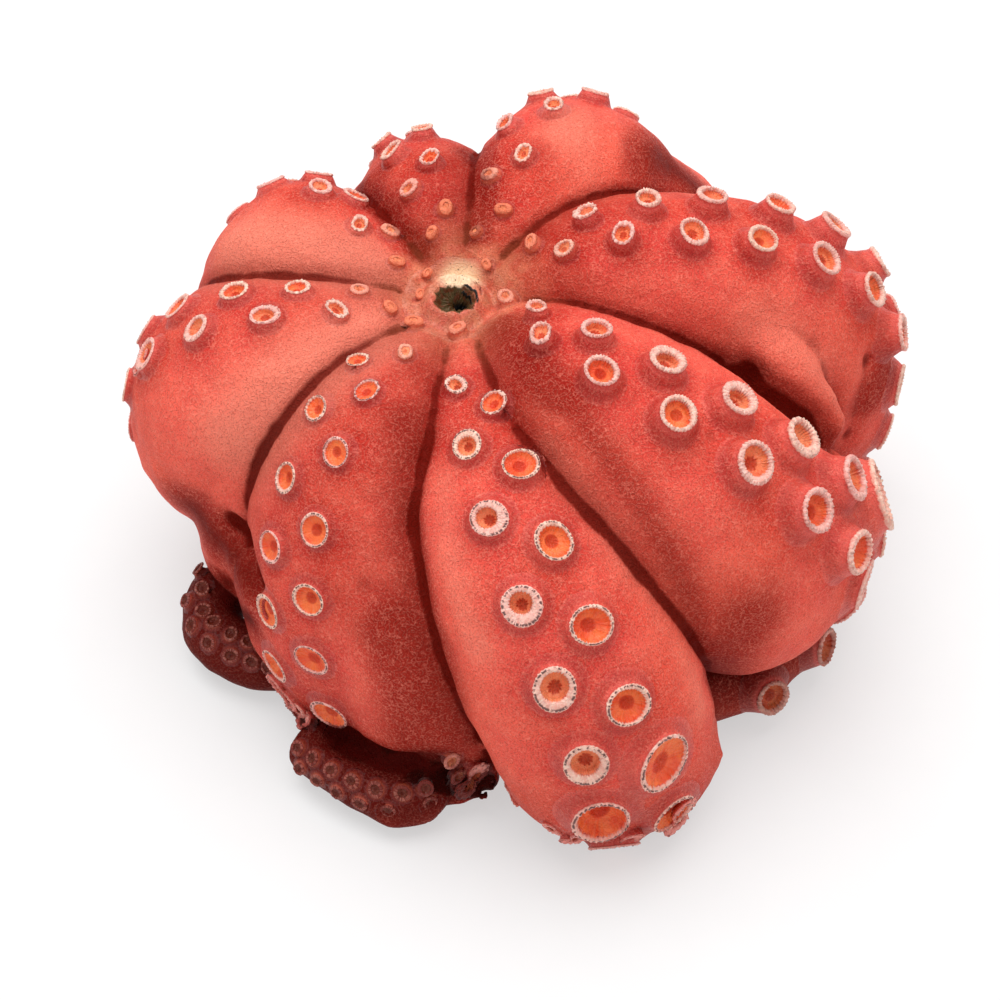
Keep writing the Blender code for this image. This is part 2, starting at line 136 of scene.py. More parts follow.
TIPS = {
    "left loop": dict(path=((0.0475, 204, 0.0206), (0.0625, 200, 0.0166), (0.0712, 202, 0.0128),
        (0.0754, 206.5, 0.0096), (0.0746, 212.5, 0.009), (0.0702, 219.5, 0.0088), (0.0642, 226.5, 0.0104),
        (0.053, 234, 0.014)), half=(0.0088, 0.0076), sucker=(0.0045, 0.0037), stalk=0.08, facing=-25),
    "front end": dict(path=((0.074, 262, 0.025), (0.0826, 263.5, 0.0185), (0.0866, 262.5, 0.0122),
        (0.0891, 259.5, 0.0092), (0.0886, 254.5, 0.0086), (0.0863, 248.5, 0.0084), (0.0826, 238, 0.0078)),
        half=(0.0084, 0.0073), sucker=(0.0047, 0.0037), stalk=0.08, facing=60),
    "right return": dict(path=((0.072, -10, 0.021), (0.089, -18, 0.017), (0.093, -27, 0.013),
        (0.09, -36, 0.012), (0.084, -44, 0.012), (0.0735, -52, 0.014)), half=(0.0115, 0.0095),
        sucker=(0.0116, 0.0096), stalk=0.24, facing=115),
}

WEB_CORNER = dict(path=((0.046, 9, 0.09), (0.0618, 5, 0.0885), (0.0743, -2, 0.0825),
                        (0.0848, -8, 0.075), (0.0915, -9.5, 0.0665), (0.0945, -8.5, 0.057)),
                  half=(0.0155, 0.0072))

# Small suckers that stand by themselves near the mouth: radius, azimuth, diameter.
BUDS = ((0.01, 176, 0.003), (0.0112, 136, 0.0026), (0.015, 220, 0.004), (0.0118, 268, 0.0042),
        (0.0122, -12, 0.0044), (0.0112, 50, 0.0028))

# Suckers squashed under or between arms: radius, azimuth, height, diameter, oval, turn of the oval, rim.
SQUASHED = ((0.078, -126.0, 0.02, 0.008, 0.42, 20, 0.18), (0.0787, -123.0, 0.0166, 0.0072, 0.45, 80, 0.5),
    (0.0804, -120.3, 0.015, 0.0056, 0.4, 110, 0.52), (0.0876, -89.4, 0.014, 0.0078, 0.52, 10, 0.5),
    (0.095, -84.9, 0.0125, 0.005, 0.3, 30, 0.5), (0.1091, -79.1, 0.0165, 0.005, 0.35, 70, 0.48),
    (0.1114, -76.1, 0.013, 0.0075, 0.5, 15, 0.5), (0.1163, -62.2, 0.015, 0.0105, 0.45, 40, 0.3),
    (0.115, -70.0, 0.011, 0.008, 0.5, 0, 0.5), (0.0817, -178.0, 0.08, 0.006, 0.3, 0, 0.3))

CAMERA_FROM_AXIS = (0.0, -0.52893, 0.62617)
AIM_FROM_AXIS = (0.00982, -0.02291, 0.04675)
LENS = 106.56


# Forms shared with the solid.

def ease(t):
    t = np.clip(t, 0, 1)
    return t * t * (3 - 2 * t)


def bell(x):
    return np.exp(-x ** 2)


def all_round(count):
    return np.linspace(0, 2 * pi, count, endpoint=False)


def unit(rows):
    return rows / np.linalg.norm(rows, axis=-1, keepdims=True)


def upright_line(arm, count=60):
    """Radius and height of the sucker side, with its station: 0 mouth, 1 crest, 2 rim, 3 foot, 4 curl."""
    crest_radius, crest_height = arm["crest"]
    reach, rim_height = arm["rim"]
    foot_radius, foot_height = arm["foot"]
    u = np.linspace(0, 1, count)
    turn = u * pi / 2
    rise = (MOUTH_RADIUS + (crest_radius - MOUTH_RADIUS) * u,
            MOUTH_HEIGHT + (crest_height - MOUTH_HEIGHT) * np.sin(turn))
    fall = (crest_radius + (reach - crest_radius) * np.sin(turn),
            rim_height + (crest_height - rim_height) * np.cos(turn))
    tuck = (foot_radius + (reach - foot_radius) * np.cos(turn),
            rim_height - (rim_height - foot_height) * np.sin(turn))
    curl = (foot_radius - CURL_RADIUS * np.sin(turn), foot_height + CURL_RADIUS * (1 - np.cos(turn)))
    line = np.concatenate([np.stack(part, 1)[:-1] for part in (rise, fall, tuck, curl)])
    station = np.concatenate([u[:-1] + k for k in range(4)])
    return line, station


def even(line, values, count):
    """The same line with evenly spaced points, the values carried along, and the way gone at each."""
    gone = np.concatenate([[0], np.cumsum(np.linalg.norm(np.diff(line, axis=0), axis=1))])
    way = np.linspace(0, gone[-1], count)
    points = np.stack([np.interp(way, gone, line[:, k]) for k in range(line.shape[1])], 1)
    return points, np.interp(way, gone, values), way


def eased_stations(station, values):
    """Values given at the five stations, blended along the arm by a running mean."""
    raw = np.interp(station, range(5), values)
    span = max(3, len(raw) // 8)
    padded = np.concatenate([[raw[0]] * span, raw, [raw[-1]] * span])
    return np.convolve(padded, np.ones(span) / span, "same")[span:-span]


def arm_frames(arm, count):
    """Centre, directions and half sizes of the arm's sections, from the mouth to the end of the curl."""
    line, station, way = even(*upright_line(arm), count)
    azimuth = np.radians(eased_stations(station, arm["azimuth"]))
    radius, height = line[:, 0], line[:, 1]
    outer = np.stack([radius * np.cos(azimuth), radius * np.sin(azimuth), height], 1)
    along = unit(np.gradient(outer, axis=0))
    side = np.stack([-np.sin(azimuth), np.cos(azimuth), 0 * azimuth], 1)
    side = unit(side - np.sum(side * along, 1)[:, None] * along)
    face = np.cross(along, side)
    if face[count // 6, 2] < 0:
        face = -face
    full = arm["half_width"]
    young = arm["spread"] * radius + WEB_MARGIN
    half_width = (young ** -4.0 + full ** -4.0) ** -0.25
    at_rim = half_width[np.argmin(abs(station - 2))]
    under = at_rim * (1 - TAPER_UNDER * ease((station - 2) / 1.6))
    half_width = np.where(station > 2, under, half_width)
    half_thick = np.minimum(DEPTH_OF_WIDTH * half_width + THINNEST_HALF, THICKEST_HALF)
    strip = arm.get("roll", (0, 0))
    roll = np.radians(np.interp(station, [0, 1, 2, 4], [0, strip[0], strip[1], strip[1]]))
    return dict(centre=outer - face * half_thick[:, None], side=side, face=face, half_width=half_width,
                half_thick=half_thick, roll=roll, way=way, to_rim=np.interp(2, station, way))


def rings(frames, points):
    turn = all_round(points)
    out = frames["half_thick"][:, None, None] * np.cos(turn)[None, :, None] * frames["face"][:, None]
    across = frames["half_width"][:, None, None] * np.sin(turn)[None, :, None] * frames["side"][:, None]
    return frames["centre"][:, None] + out + across


def head_rings(around=96):
    """Rings of the squashed head: round at the top, an uneven oval where it spreads on the floor."""
    turn = all_round(around)
    oval = 0.09 * np.cos(2 * turn - 1.1) + 0.05 * np.cos(3 * turn + 0.6) + 0.03 * np.cos(5 * turn)
    made = []
    for radius, height in HEAD_PROFILE:
        uneven = 1 + oval * ease((MOUTH_HEIGHT - height) / MOUTH_HEIGHT)
        made.append(np.stack([HEAD_SHIFT[0] + radius * uneven * np.cos(turn),
                              HEAD_SHIFT[1] + radius * uneven * np.sin(turn), 0 * turn + height], 1))
    return np.array(made)


def band(count, around, start):
    """Numbers of a tube's corners, ring by ring, and the faces between the rings."""
    number = start + np.arange(count * around).reshape(count, around)
    a, b = number[:-1], number[1:]
    return number, np.stack([a, np.roll(a, -1, 1), np.roll(b, -1, 1), b], -1).reshape(-1, 4).tolist()


def around_axis(path):
    return [(r * cos(radians(a)), r * sin(radians(a)), z) for r, a, z in path]


def through(points, count):
    """An even curve through the points: Catmull and Rom's spline."""
    p = np.array(points)
    p = np.concatenate([[2 * p[0] - p[1]], p, [2 * p[-1] - p[-2]]])
    made = []
    for i in range(1, len(p) - 2):
        for t in np.linspace(0, 1, 12, endpoint=False):
            made.append(0.5 * (2 * p[i] + (p[i + 1] - p[i - 1]) * t
                               + (2 * p[i - 1] - 5 * p[i] + 4 * p[i + 1] - p[i + 2]) * t ** 2
                               + (3 * p[i] - p[i - 1] - 3 * p[i + 1] + p[i + 2]) * t ** 3))
    made.append(p[-2])
    made = np.array(made)
    return even(made, np.zeros(len(made)), count)[0]


def tip_frames(tip, count):
    """Sections of an arm's end along its path on the floor, rounded off at the last."""
    line = through(around_axis(tip["path"]), count)
    gone = np.linspace(0, 1, count)
    start, end = tip["half"]
    half = start + (end - start) * gone
    half = half * np.sqrt(np.clip(1 - np.clip((gone - 0.93) / 0.0705, 0, 1) ** 2, 0.02, 1))
    line[:, 2] = np.maximum(line[:, 2], 0.92 * half)
    along = unit(np.gradient(line, axis=0))
    side = unit(np.cross(np.array([0, 0, 1.0]), along))
    up = np.cross(along, side)
    lean = radians(tip.get("facing", 0))
    face = unit(cos(lean) * up + sin(lean) * side)
    across = np.cross(along, face)
    way = gone * np.sum(np.linalg.norm(np.diff(line, axis=0), axis=1))
    return dict(centre=line, side=across, face=face, half_width=half, half_thick=half, way=way)


def arm_tube(arm, grid):
    return rings(arm_frames(arm, grid[0]), grid[1])


def end_tube(tip, grid):
    return rings(tip_frames(tip, grid[0]), grid[1])


def sucker_spots(arm):
    """Middle, outward direction, diameter, stalk and row of the arm's suckers, two rows in turn."""
    first, step, lateral, growth, hand, largest, usual_stalk = arm["suckers"]
    grown = arm.get("grown", {})
    f = arm_frames(arm, ARM_STEPS)
    spots = []
    gone = first
    while gone < f["way"][-1] - ARM_BARE:
        larger, stalk = grown.get(len(spots), (1, usual_stalk))
        across = larger * largest * np.interp(gone / f["to_rim"], *SUCKER_GROWTH)
        k = int(np.searchsorted(f["way"], gone))
        turn = f["roll"][k] + hand * lateral * across / f["half_width"][k]
        face, side = f["face"][k], f["side"][k]
        wide, thick = f["half_width"][k], f["half_thick"][k]
        place = f["centre"][k] + thick * cos(turn) * face + wide * sin(turn) * side
        out = unit(cos(turn) / thick * face + sin(turn) / wide * side)
        spots.append((place, out, across, stalk, hand))
        gone += step * (1 - growth + growth * min(1, gone / f["to_rim"] / 0.4))
        hand = -hand
    return spots


def tip_spots(tip):
    """Two close rows of small suckers along an arm's end on the floor."""
    f = tip_frames(tip, END_STEPS)
    first, last = tip["sucker"]
    spots = []
    gone, hand = END_FIRST, 1
    while gone < f["way"][-1] - END_BARE:
        across = first + (last - first) * gone / f["way"][-1]
        k = int(np.searchsorted(f["way"], gone))
        turn = hand * END_LATERAL * across / f["half_width"][k]
        out = cos(turn) * f["face"][k] + sin(turn) * f["side"][k]
        spots.append((f["centre"][k] + out * f["half_width"][k], out, across, tip["stalk"], hand))
        gone += TIP_STEP * across
        hand = -hand
    return spots


# The skin.

def tubes_mesh():
    """Arms, webs, head and floor tips as closed skins that overlap, in one mesh."""
    sets = [arm_tube(arm, ARM_GRID) for arm in [*ARMS.values(), *WEBS.values()]]
    sets.append(head_rings())
    sets += [end_tube(tip, END_GRID) for tip in [*TIPS.values(), WEB_CORNER]]
    verts, faces = [], []
    for ring_points in sets:
        number, quads = band(*ring_points.shape[:2], len(verts))
        faces += quads + [number[0][::-1].tolist(), number[-1].tolist()]
        ring_points[..., 2] = np.maximum(ring_points[..., 2], 0.0)
        verts += ring_points.reshape(-1, 3).tolist()
    mesh = bpy.data.meshes.new("flesh")
    mesh.from_pydata(verts, [], faces)
    work = bmesh.new()
    work.from_mesh(mesh)
    bmesh.ops.recalc_face_normals(work, faces=work.faces)
    work.to_mesh(mesh)
    work.free()
    return mesh


def keep_largest(mesh):
    """Only the piece with the most corners stays: sealed hollows and loose scraps go."""
    work = bmesh.new()
    work.from_mesh(mesh)
    left = set(work.verts)
    pieces = []
    while left:
        stack = [left.pop()]
        piece = list(stack)
        while stack:
            for edge in stack.pop().link_edges:
                for vert in edge.verts:
                    if vert in left:
                        left.remove(vert)
                        stack.append(vert)
                        piece.append(vert)
        pieces.append(piece)
    pieces.sort(key=len)
    for piece in pieces[:-1]:
        bmesh.ops.delete(work, geom=piece, context="VERTS")
    work.to_mesh(mesh)
    work.free()


def in_scene(name, data):
    """A new object of the data, in the scene."""
    thing = bpy.data.objects.new(name, data)
    bpy.context.scene.collection.objects.link(thing)
    return thing


def smooth(mesh):
    mesh.polygons.foreach_set("use_smooth", np.ones(len(mesh.polygons), dtype=bool))


def tree_of(mesh, co):
    """The mesh's faces with these corners, to measure distances to."""
    return BVHTree.FromPolygons(co.tolist(), [p.vertices for p in mesh.polygons])


def one_skin():
    """One closed fine skin round all the flesh."""
    thing = in_scene("skin", tubes_mesh())
    fuse = thing.modifiers.new("fuse", "REMESH")
    fuse.mode = "VOXEL"
    fuse.voxel_size = VOXEL
    graph = bpy.context.evaluated_depsgraph_get()
    mesh = bpy.data.meshes.new_from_object(thing.evaluated_get(graph))
    thing.modifiers.clear()
    thing.data = mesh
    keep_largest(mesh)
    return thing


def corners_of(mesh):
    co = np.empty(len(mesh.vertices) * 3)
    mesh.vertices.foreach_get("co", co)
    return co.reshape(-1, 3)


def normals_of(mesh):
    no = np.empty(len(mesh.vertices) * 3)
    mesh.vertex_normals.foreach_get("vector", no)
    return no.reshape(-1, 3)


def move_corners(mesh, co):
    mesh.vertices.foreach_set("co", np.ascontiguousarray(co).ravel())
    mesh.update()


def edges_of(mesh):
    pairs = np.empty(len(mesh.edges) * 2, dtype=np.int64)
    mesh.edges.foreach_get("vertices", pairs)
    return pairs.reshape(-1, 2)


class Mean:
    """The mean of each corner's neighbours, of any value carried by the corners."""

    def __init__(self, mesh):
        self.a, self.b = edges_of(mesh).T
        self.count = len(mesh.vertices)
        self.near = np.bincount(self.a, minlength=self.count) + np.bincount(self.b, minlength=self.count)

    def of(self, values):
        flat = values.reshape(self.count, -1)
        out = np.empty_like(flat)
        for k in range(flat.shape[1]):
            total = np.bincount(self.a, flat[self.b, k], self.count)
            total += np.bincount(self.b, flat[self.a, k], self.count)
            out[:, k] = total / self.near
        return out.reshape(values.shape)

    def relaxed(self, values, turns, share=0.5):
        share = share if np.isscalar(share) else np.asarray(share)[:, None]
        for _ in range(turns):
            values = values + share * (self.of(values) - values)
        return values


def waves(co, size, seed, octaves=2):
    """Smooth noise of about -1 to 1 at each corner, its bumps as large as size."""
    shift = Vector((seed * 3.17, seed * 1.31, seed * 7.73))
    return np.array([noise.fractal(Vector(p) / size + shift, 1.0, 2.0, octaves) for p in co])


def add_values(mesh, name, values):
    """A named number on every corner, for the materials."""
    layer = mesh.attributes.new(name, "FLOAT", "POINT")
    layer.data.foreach_set("value", np.ascontiguousarray(values, dtype=np.float32))


def push_for_suckers(co, spots):
    """Skin raised into a mound under each stalk, and sunk beneath each bowl."""
    moved = co.copy()
    for spot in spots:
        radius = spot["across"] / 2
        away = co - spot["place"]
        height = away @ spot["axis"]
        flat = np.linalg.norm(away - height[:, None] * spot["axis"], axis=1) / radius
        near = (flat < 2.4) & (abs(height) < 1.6 * radius + 0.002)
        flat = flat[near]
        lift = MOUND * spot["stalk"] * spot["across"] * (1 - ease((flat - 0.9) / 1.3))
        moat = -MOAT * radius * bell((flat - 1.36) / 0.22) * (spot["stalk"] < 0.13)
        bowl = -BOWL_SUNK * radius * (1 - ease((flat - 0.45) / 0.5))
        moved[near] += (lift + moat + bowl)[:, None] * spot["axis"]
    return moved


def distance_to(co, line):
    near = np.full(len(co), 1.0)
    for point in line:
        near = np.minimum(near, np.sum((co - point) ** 2, axis=1))
    return np.sqrt(near)


def along_path(co, path, count, reach):
    """1 on the path, fading out to both sides of it."""
    return np.exp(-(distance_to(co, through(around_axis(path), count)) / reach) ** 2)


def tube_tree(sets):
    """The outsides of some tubes, to measure distances to."""
    verts, faces = [], []
    for ring_points in sets:
        faces += band(*ring_points.shape[:2], len(verts))[1]
        verts += ring_points.reshape(-1, 3).tolist()
    return BVHTree.FromPolygons(verts, faces)


def painted_shading_of(co):
    """Above 0 where shade is painted dark on the skin, below 0 where light is painted pale on it."""
    dark, pale = np.zeros(len(co)), np.zeros(len(co))
    for path, reach, strength in PAINTED_SHADING.values():
        share = strength * along_path(co, path, PAINTED_SHADING_STEPS, reach)
        dark, pale = np.maximum(dark, share), np.minimum(pale, share)
    return np.clip(dark + pale, -1, 1)


def over_neighbours():
    """How far on top each limb lies, in the order of the limbs."""
    return np.array([OVER.get(name, 0) for name in list(ARMS) + list(TIPS)])


def limbs():
    """Each arm with the fold of web that lies against it, then the ends on the floor."""
    with_web = {"front left": [WEBS["left of the front"]], "left": [WEBS["front of the left"]]}
    made = []
    for name, arm in ARMS.items():
        sets = [arm_tube(part, COARSE_ARM_GRID) for part in [arm] + with_web.get(name, [])]
        if name == "right":
            sets.append(end_tube(WEB_CORNER, COARSE_CORNER_GRID))
        made.append(tube_tree(sets))
    return made + [tube_tree([end_tube(tip, COARSE_END_GRID)]) for tip in TIPS.values()]


def between_limbs(co):
    """How much farther the second nearest limb is than the nearest: nothing in the furrow between two.
    Then whether one of the two is an end on the floor, and whether the nearest lies over the other."""
    trees = limbs()
    away = np.full((len(trees), len(co)), FAR)
    for row, tree in zip(away, trees):
        for k, point in enumerate(co):
            hit = tree.find_nearest(point, FAR)
            if hit[0] is not None:
                row[k] = hit[3]
    order = np.argsort(away, axis=0)
    near = np.take_along_axis(away, order[:2], 0)
    gap = np.where(near[1] >= FAR, FAR, near[1] - near[0])
    rank = over_neighbours()[order[:2]]
    return gap, (order[:2] >= len(ARMS)).any(axis=0), np.sign(rank[0] - rank[1])


def shade_of(co, normal, tree, mean):
    """How much of the view out from each corner is closed off by flesh or floor near by: 0 to 1, used for
    painted shade.
    """
    k = np.arange(SHADE_RAYS) + 0.5
    turn = k * pi * (3 - 5 ** 0.5)
    out = np.sqrt(k / SHADE_RAYS)
    local = np.stack([out * np.cos(turn), out * np.sin(turn), np.sqrt(1 - out ** 2)], 1)
    first = unit(np.cross(normal, np.array([0.31, 0.17, 0.93])))
    second = np.cross(normal, first)
    closed = np.zeros(len(co))
    known = np.zeros(len(co))
    for i in range(0, len(co), 2):
        start = Vector(co[i] + normal[i] * SHADE_LIFT)
        ways = local @ np.array([first[i], second[i], normal[i]])
        total = 0.0
        for way in ways:
            hit = tree.ray_cast(start, Vector(way), SHADE_REACH)[3]
            to_floor = start.z / -way[2] if way[2] < 0 else SHADE_REACH
            near = min(SHADE_REACH if hit is None else hit, to_floor)
            total += 1 - near / SHADE_REACH
        closed[i] = total / SHADE_RAYS
        known[i] = 1.0
    closed, known = mean.relaxed(closed, 4), mean.relaxed(known, 4)
    return closed / np.maximum(known, 0.05)


def is_clear(kept, near, across, share):
    """Whether a sucker keeps this share of both widths away from those kept before."""
    return all(np.linalg.norm(s["place"] - near) >= share * (s["across"] + across) for s in kept)


def free_spots(tree):
    """The spots that lie on the outside of the body, moved on to it, and clear of one another."""
    wanted = []
    for name, arm in ARMS.items():
        for spot in sucker_spots(arm):
            wanted.append((name, arm["rims"], arm["dark_ring"]) + spot)
    for name, tip in TIPS.items():
        for spot in tip_spots(tip):
            wanted.append((name, END_RIMS, 0.0) + spot)
    kept = []
    for name, rims, dark, place, out, across, stalk, hand in wanted:
        near, normal, _, gap = tree.find_nearest(Vector(place))
        out = Vector(out)
        if gap > OFF_SKIN or normal.dot(out) < LEAST_ALIKE or near.z < LOWEST[0] * across + LOWEST[1]:
            continue
        axis = (out * 0.5 + normal * 0.5).normalized()
        if tree.ray_cast(near + axis * OFF_SKIN, axis, CLEAR_ABOVE)[0] is not None:
            continue
        if axis.z < LOWEST_FACING:
            continue
        near, axis = np.array(near), np.array(axis)
        if np.hypot(near[0], near[1]) < CLEAR_OF_MOUTH:
            continue
        if is_clear(kept, near, across, APART):
            kept.append(dict(arm=name, place=near, axis=axis, across=across, stalk=stalk,
                             rim=rims[0] if hand < 0 else rims[1], dark=dark))
    for radius, azimuth, across in BUDS:
        over = Vector(around_axis([(radius, azimuth, 0.2)])[0])
        near, normal = tree.ray_cast(over, Vector((0, 0, -1)))[:2]
        near = np.array(near)
        if is_clear(kept, near, across, BUDS_APART):
            kept.append(dict(arm="mouth", place=near, axis=np.array(normal), across=across, **BUD_FORM))
    for radius, azimuth, height, across, oval, turn, rim in SQUASHED:
        near, normal = tree.find_nearest(Vector(around_axis([(radius, azimuth, height)])[0]))[:2]
        kept.append(dict(arm="squashed", place=np.array(near), axis=np.array(normal), across=across,
                         rim=rim, oval=oval, oval_turn=radians(turn), **SQUASHED_FORM))
    return kept


class Skin:
    """The body's mesh with the values that its colours need."""

    def __init__(self):
        self.thing = one_skin()
        mesh = self.thing.data
        mean = Mean(mesh)
        co = corners_of(mesh)
        co = mean.relaxed(co, RELAX_TURNS)
        gap, by_end, over = between_limbs(co)
        web = bell(gap / WEB_REACH) * ease((co[:, 2] - 0.02) / 0.02) * np.where(by_end, 0, 1)
        co = mean.relaxed(co, WEB_TURNS, 0.5 * web)
        co[:, 2] = np.where(co[:, 2] < FLAT_BELOW, 0.0, co[:, 2])
        self.spots = free_spots(tree_of(mesh, co))
        move_corners(mesh, co)
        rest = normals_of(mesh)
        from_axis = np.hypot(co[:, 0], co[:, 1])
        off_floor = ease((co[:, 2] - 0.001) / 0.006)
        depth = 0.62 * ease((from_axis - 0.006) / 0.01) + 0.38 * ease((from_axis - 0.02) / 0.04)
        depth = np.where(by_end, END_FURROW, FURROW_DEPTH * depth)
        furrow = bell(gap / FURROW_REACH)
        rough = WAVE_LARGE * waves(co, 0.016, 1) + WAVE_SMALL * waves(co, 0.005, 2)
        arm_middles = np.array([s["place"] for s in self.spots if s["arm"] in ARMS])
        strip = bell(distance_to(co, arm_middles) / STRIP_REACH)
        rough -= FOLDS * strip * (1 - np.minimum(1, abs(waves(co, 0.0075, 5)) / 0.16))
        push = rough - depth * furrow
        for path, reach, deep in HOLLOWS.values():
            push -= deep * along_path(co, path, HOLLOW_STEPS, reach)
        co = co + (push * off_floor)[:, None] * rest
        co = push_for_suckers(co, self.spots)
        soft = mean.relaxed(co, 2)
        co = np.where((co[:, 2] > 0)[:, None], soft, co)
        co = self.sink_mouth(co)
        co[:, 2] = np.maximum(co[:, 2], 0.0)
        move_corners(mesh, co)
        self.co = co
        self.faces = np.array([list(p.vertices)[:4] for p in mesh.polygons])
        self.tree = tree_of(mesh, co)
        self.values = self.colour_values(co, normals_of(mesh), mean, gap, over)
        self.values["strip"] = strip
        self.values["painted_shading"] = painted_shading_of(co)
        self.values["shade"] = shade_of(co, normals_of(mesh), self.tree, mean)
        for name, values in self.values.items():
            add_values(mesh, name, values)
        smooth(mesh)
        print("skin corners", len(co), "suckers", len(self.spots))

    @staticmethod
    def sink_mouth(co):
        """Room for the mouth's own finer piece."""
        radius = np.hypot(co[:, 0], co[:, 1])
        sunk = MOUTH_SUNK * (1 - ease((radius - 0.006) / (MOUTH_REACH - 0.0063))) * (co[:, 2] > 0.07)
        co = co.copy()
        co[:, 2] -= sunk
        return co

    @staticmethod
    def colour_values(co, normal, mean, gap, over):
        """crease: 0 on open skin to 1 deep in a fold, below 0 on a ridge, for painted shade in folds and a
        painted highlight on
        ridges. furrow: painted shade beside the line between two arms, reaching farther onto the limb
        beneath. mouth: by
        the mouth. tip: dark ends. low: painted shade near the floor or facing it."""
        softer = mean.relaxed(co, CREASE_TURNS)
        hollow = np.sum((softer - co) * normal, axis=1)
        hollow = mean.relaxed(hollow, 2)
        radius = np.hypot(co[:, 0], co[:, 1])
        tips = [distance_to(co, tip_frames(tip, 60)["centre"]) / tip["half"][0] for tip in TIPS.values()]
        tip = np.min(tips, axis=0)
        # Painted shade near the floor and on faces turned down or sideways.
        low = ease((0.052 - co[:, 2]) / 0.052) * 0.75 + 0.18 * ease((0.05 - normal[:, 2]) / 0.7)
        # Painted shade beside the furrows, reaching farther onto the limb beneath.
        reach = 1 - 0.55 * over
        close = 0.55 * np.exp(-(gap / (reach * FURROW_SHADE)) ** 2)
        close += 0.3 * np.exp(-(gap / (reach * FLANK_SHADE)) ** 2)
        close = mean.relaxed(close, 2)
        return dict(crease=np.clip(hollow / CREASE_DEPTH, -1, 1),
                    furrow=close * (0.5 + 0.5 * ease((radius - 0.005) / 0.012)),
                    mouth=bell(radius / 0.0185) * (co[:, 2] > 0.06),
                    tip=(1 - ease((tip - 1.0) / 0.6)) * np.where(co[:, 0] > 0.04, RETURN_TIP, 1.0),
                    low=np.clip(low, 0, 1))

    def value_near(self, points):
        """The colour values of the skin nearest to each point."""
        index = [self.faces[self.tree.find_nearest(Vector(point))[2]][0] for point in points]
        return {name: values[index] for name, values in self.values.items()}


def height_on(tree, axis, points):
    """How far along the axis the skin lies from each point of a flat patch."""
    axis = Vector(axis)
    out = []
    for point in points:
        start = Vector(point) + axis * LOOK_FROM
        hit = tree.ray_cast(start, -axis, LOOK_REACH)[0]
        out.append(LOOK_FROM - (hit - start).length if hit is not None else -FAR)
    return np.array(out)


def round_axis(axis, turn):
    """Two directions square to the axis, and the ways out from it all round."""
    first = np.array(Vector(axis).orthogonal().normalized())
    second = np.cross(axis, first)
    return first, second, np.cos(turn)[:, None] * first + np.sin(turn)[:, None] * second


class Pieces:
    """Lathed forms gathered into one mesh, with their own named values at every corner."""

    def __init__(self, skin, names):
        self.skin = skin
        self.names = names
        self.verts, self.faces, self.values, self.start = [], [], [], 0

    def add(self, place, axis, radii, rise, follow, values, off=None, off_turn=0.0, above=None):
        """Rings round the axis, the outermost first: radii and rise by ring and turn, follow: how far each
        ring keeps to the skin, values: for each name, by ring and turn, off: each ring's way off centre,
        above: where it has to lie above the skin. At an edge of the body the rings turn in beneath it."""
        count, around = radii.shape
        first, second, out = round_axis(axis, all_round(around))
        flat = place + radii[..., None] * out[None]
        if off is not None:
            flat = flat + off[:, None, None] * (cos(off_turn) * first + sin(off_turn) * second)
        height = np.zeros_like(radii)
        for ring in range(count):
            if follow[ring] > 0:
                found = height_on(self.skin.tree, axis, flat[ring])
                away = (abs(found) > STEEPEST * radii[ring]) & (above is None)
                flat[ring] = np.where(away[:, None], place + TURNED_IN * (flat[ring] - place), flat[ring])
                height[ring] = follow[ring] * np.where(away, -TURNED_DOWN * radii[ring], found)
                if above is not None:
                    lift = np.maximum(0, found + LEAST_LIFT - rise[ring] - height[ring])
                    height[ring] += lift * above[ring]
        points = flat + (rise + height)[..., None] * np.asarray(axis)
        middle = points[-1].mean(0)
        number, quads = band(count, around, self.start)
        self.faces += quads
        last = number[-1]
        tip = np.full(around, self.start + count * around)
        self.faces += np.stack([last, np.roll(last, -1), tip], -1).tolist()
        self.verts += points.reshape(-1, 3).tolist() + [middle.tolist()]
        rows = [np.append(v.ravel(), v[-1].mean()) for v in values]
        self.values.append(np.array(rows))
        self.start += count * around + 1

    def finish(self, name, material):
        mesh = bpy.data.meshes.new(name)
        mesh.from_pydata(self.verts, [], self.faces)
        smooth(mesh)
        for label, values in zip(self.names, np.concatenate(self.values, axis=1)):
            add_values(mesh, label, values)
        for label, values in self.skin.value_near(self.verts).items():
            add_values(mesh, label, values)
        return dress(name, mesh, material)


def dress(name, mesh, material):
    """An object of the mesh, moved into the solid's frame, that stands for the solid."""
    co = corners_of(mesh) + MOUTH_AXIS
    co[:, 2] = np.maximum(co[:, 2], 0.0)
    move_corners(mesh, co)
    thing = in_scene(name, mesh)
    mesh.materials.clear()
    mesh.materials.append(material)
    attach(thing, BODY)
    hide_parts(NODE)
    return thing


# Suckers.

def teeth(rng, turn, count):
    """A frayed edge: unevenly spaced small teeth round the turn, about -1 to 1."""
    wobble = sum(rng.normal() * np.cos(k * turn + rng.uniform(0, 2 * pi)) / k for k in range(2, 6))
    fine = np.cos(count * turn + 1.3 * wobble + rng.uniform(0, 2 * pi))
    other = np.cos((count * 2 - 5) * turn + rng.uniform(0, 2 * pi))
    return 0.55 * fine + 0.35 * other + 0.35 * wobble + 0.25 * rng.normal(size=len(turn))


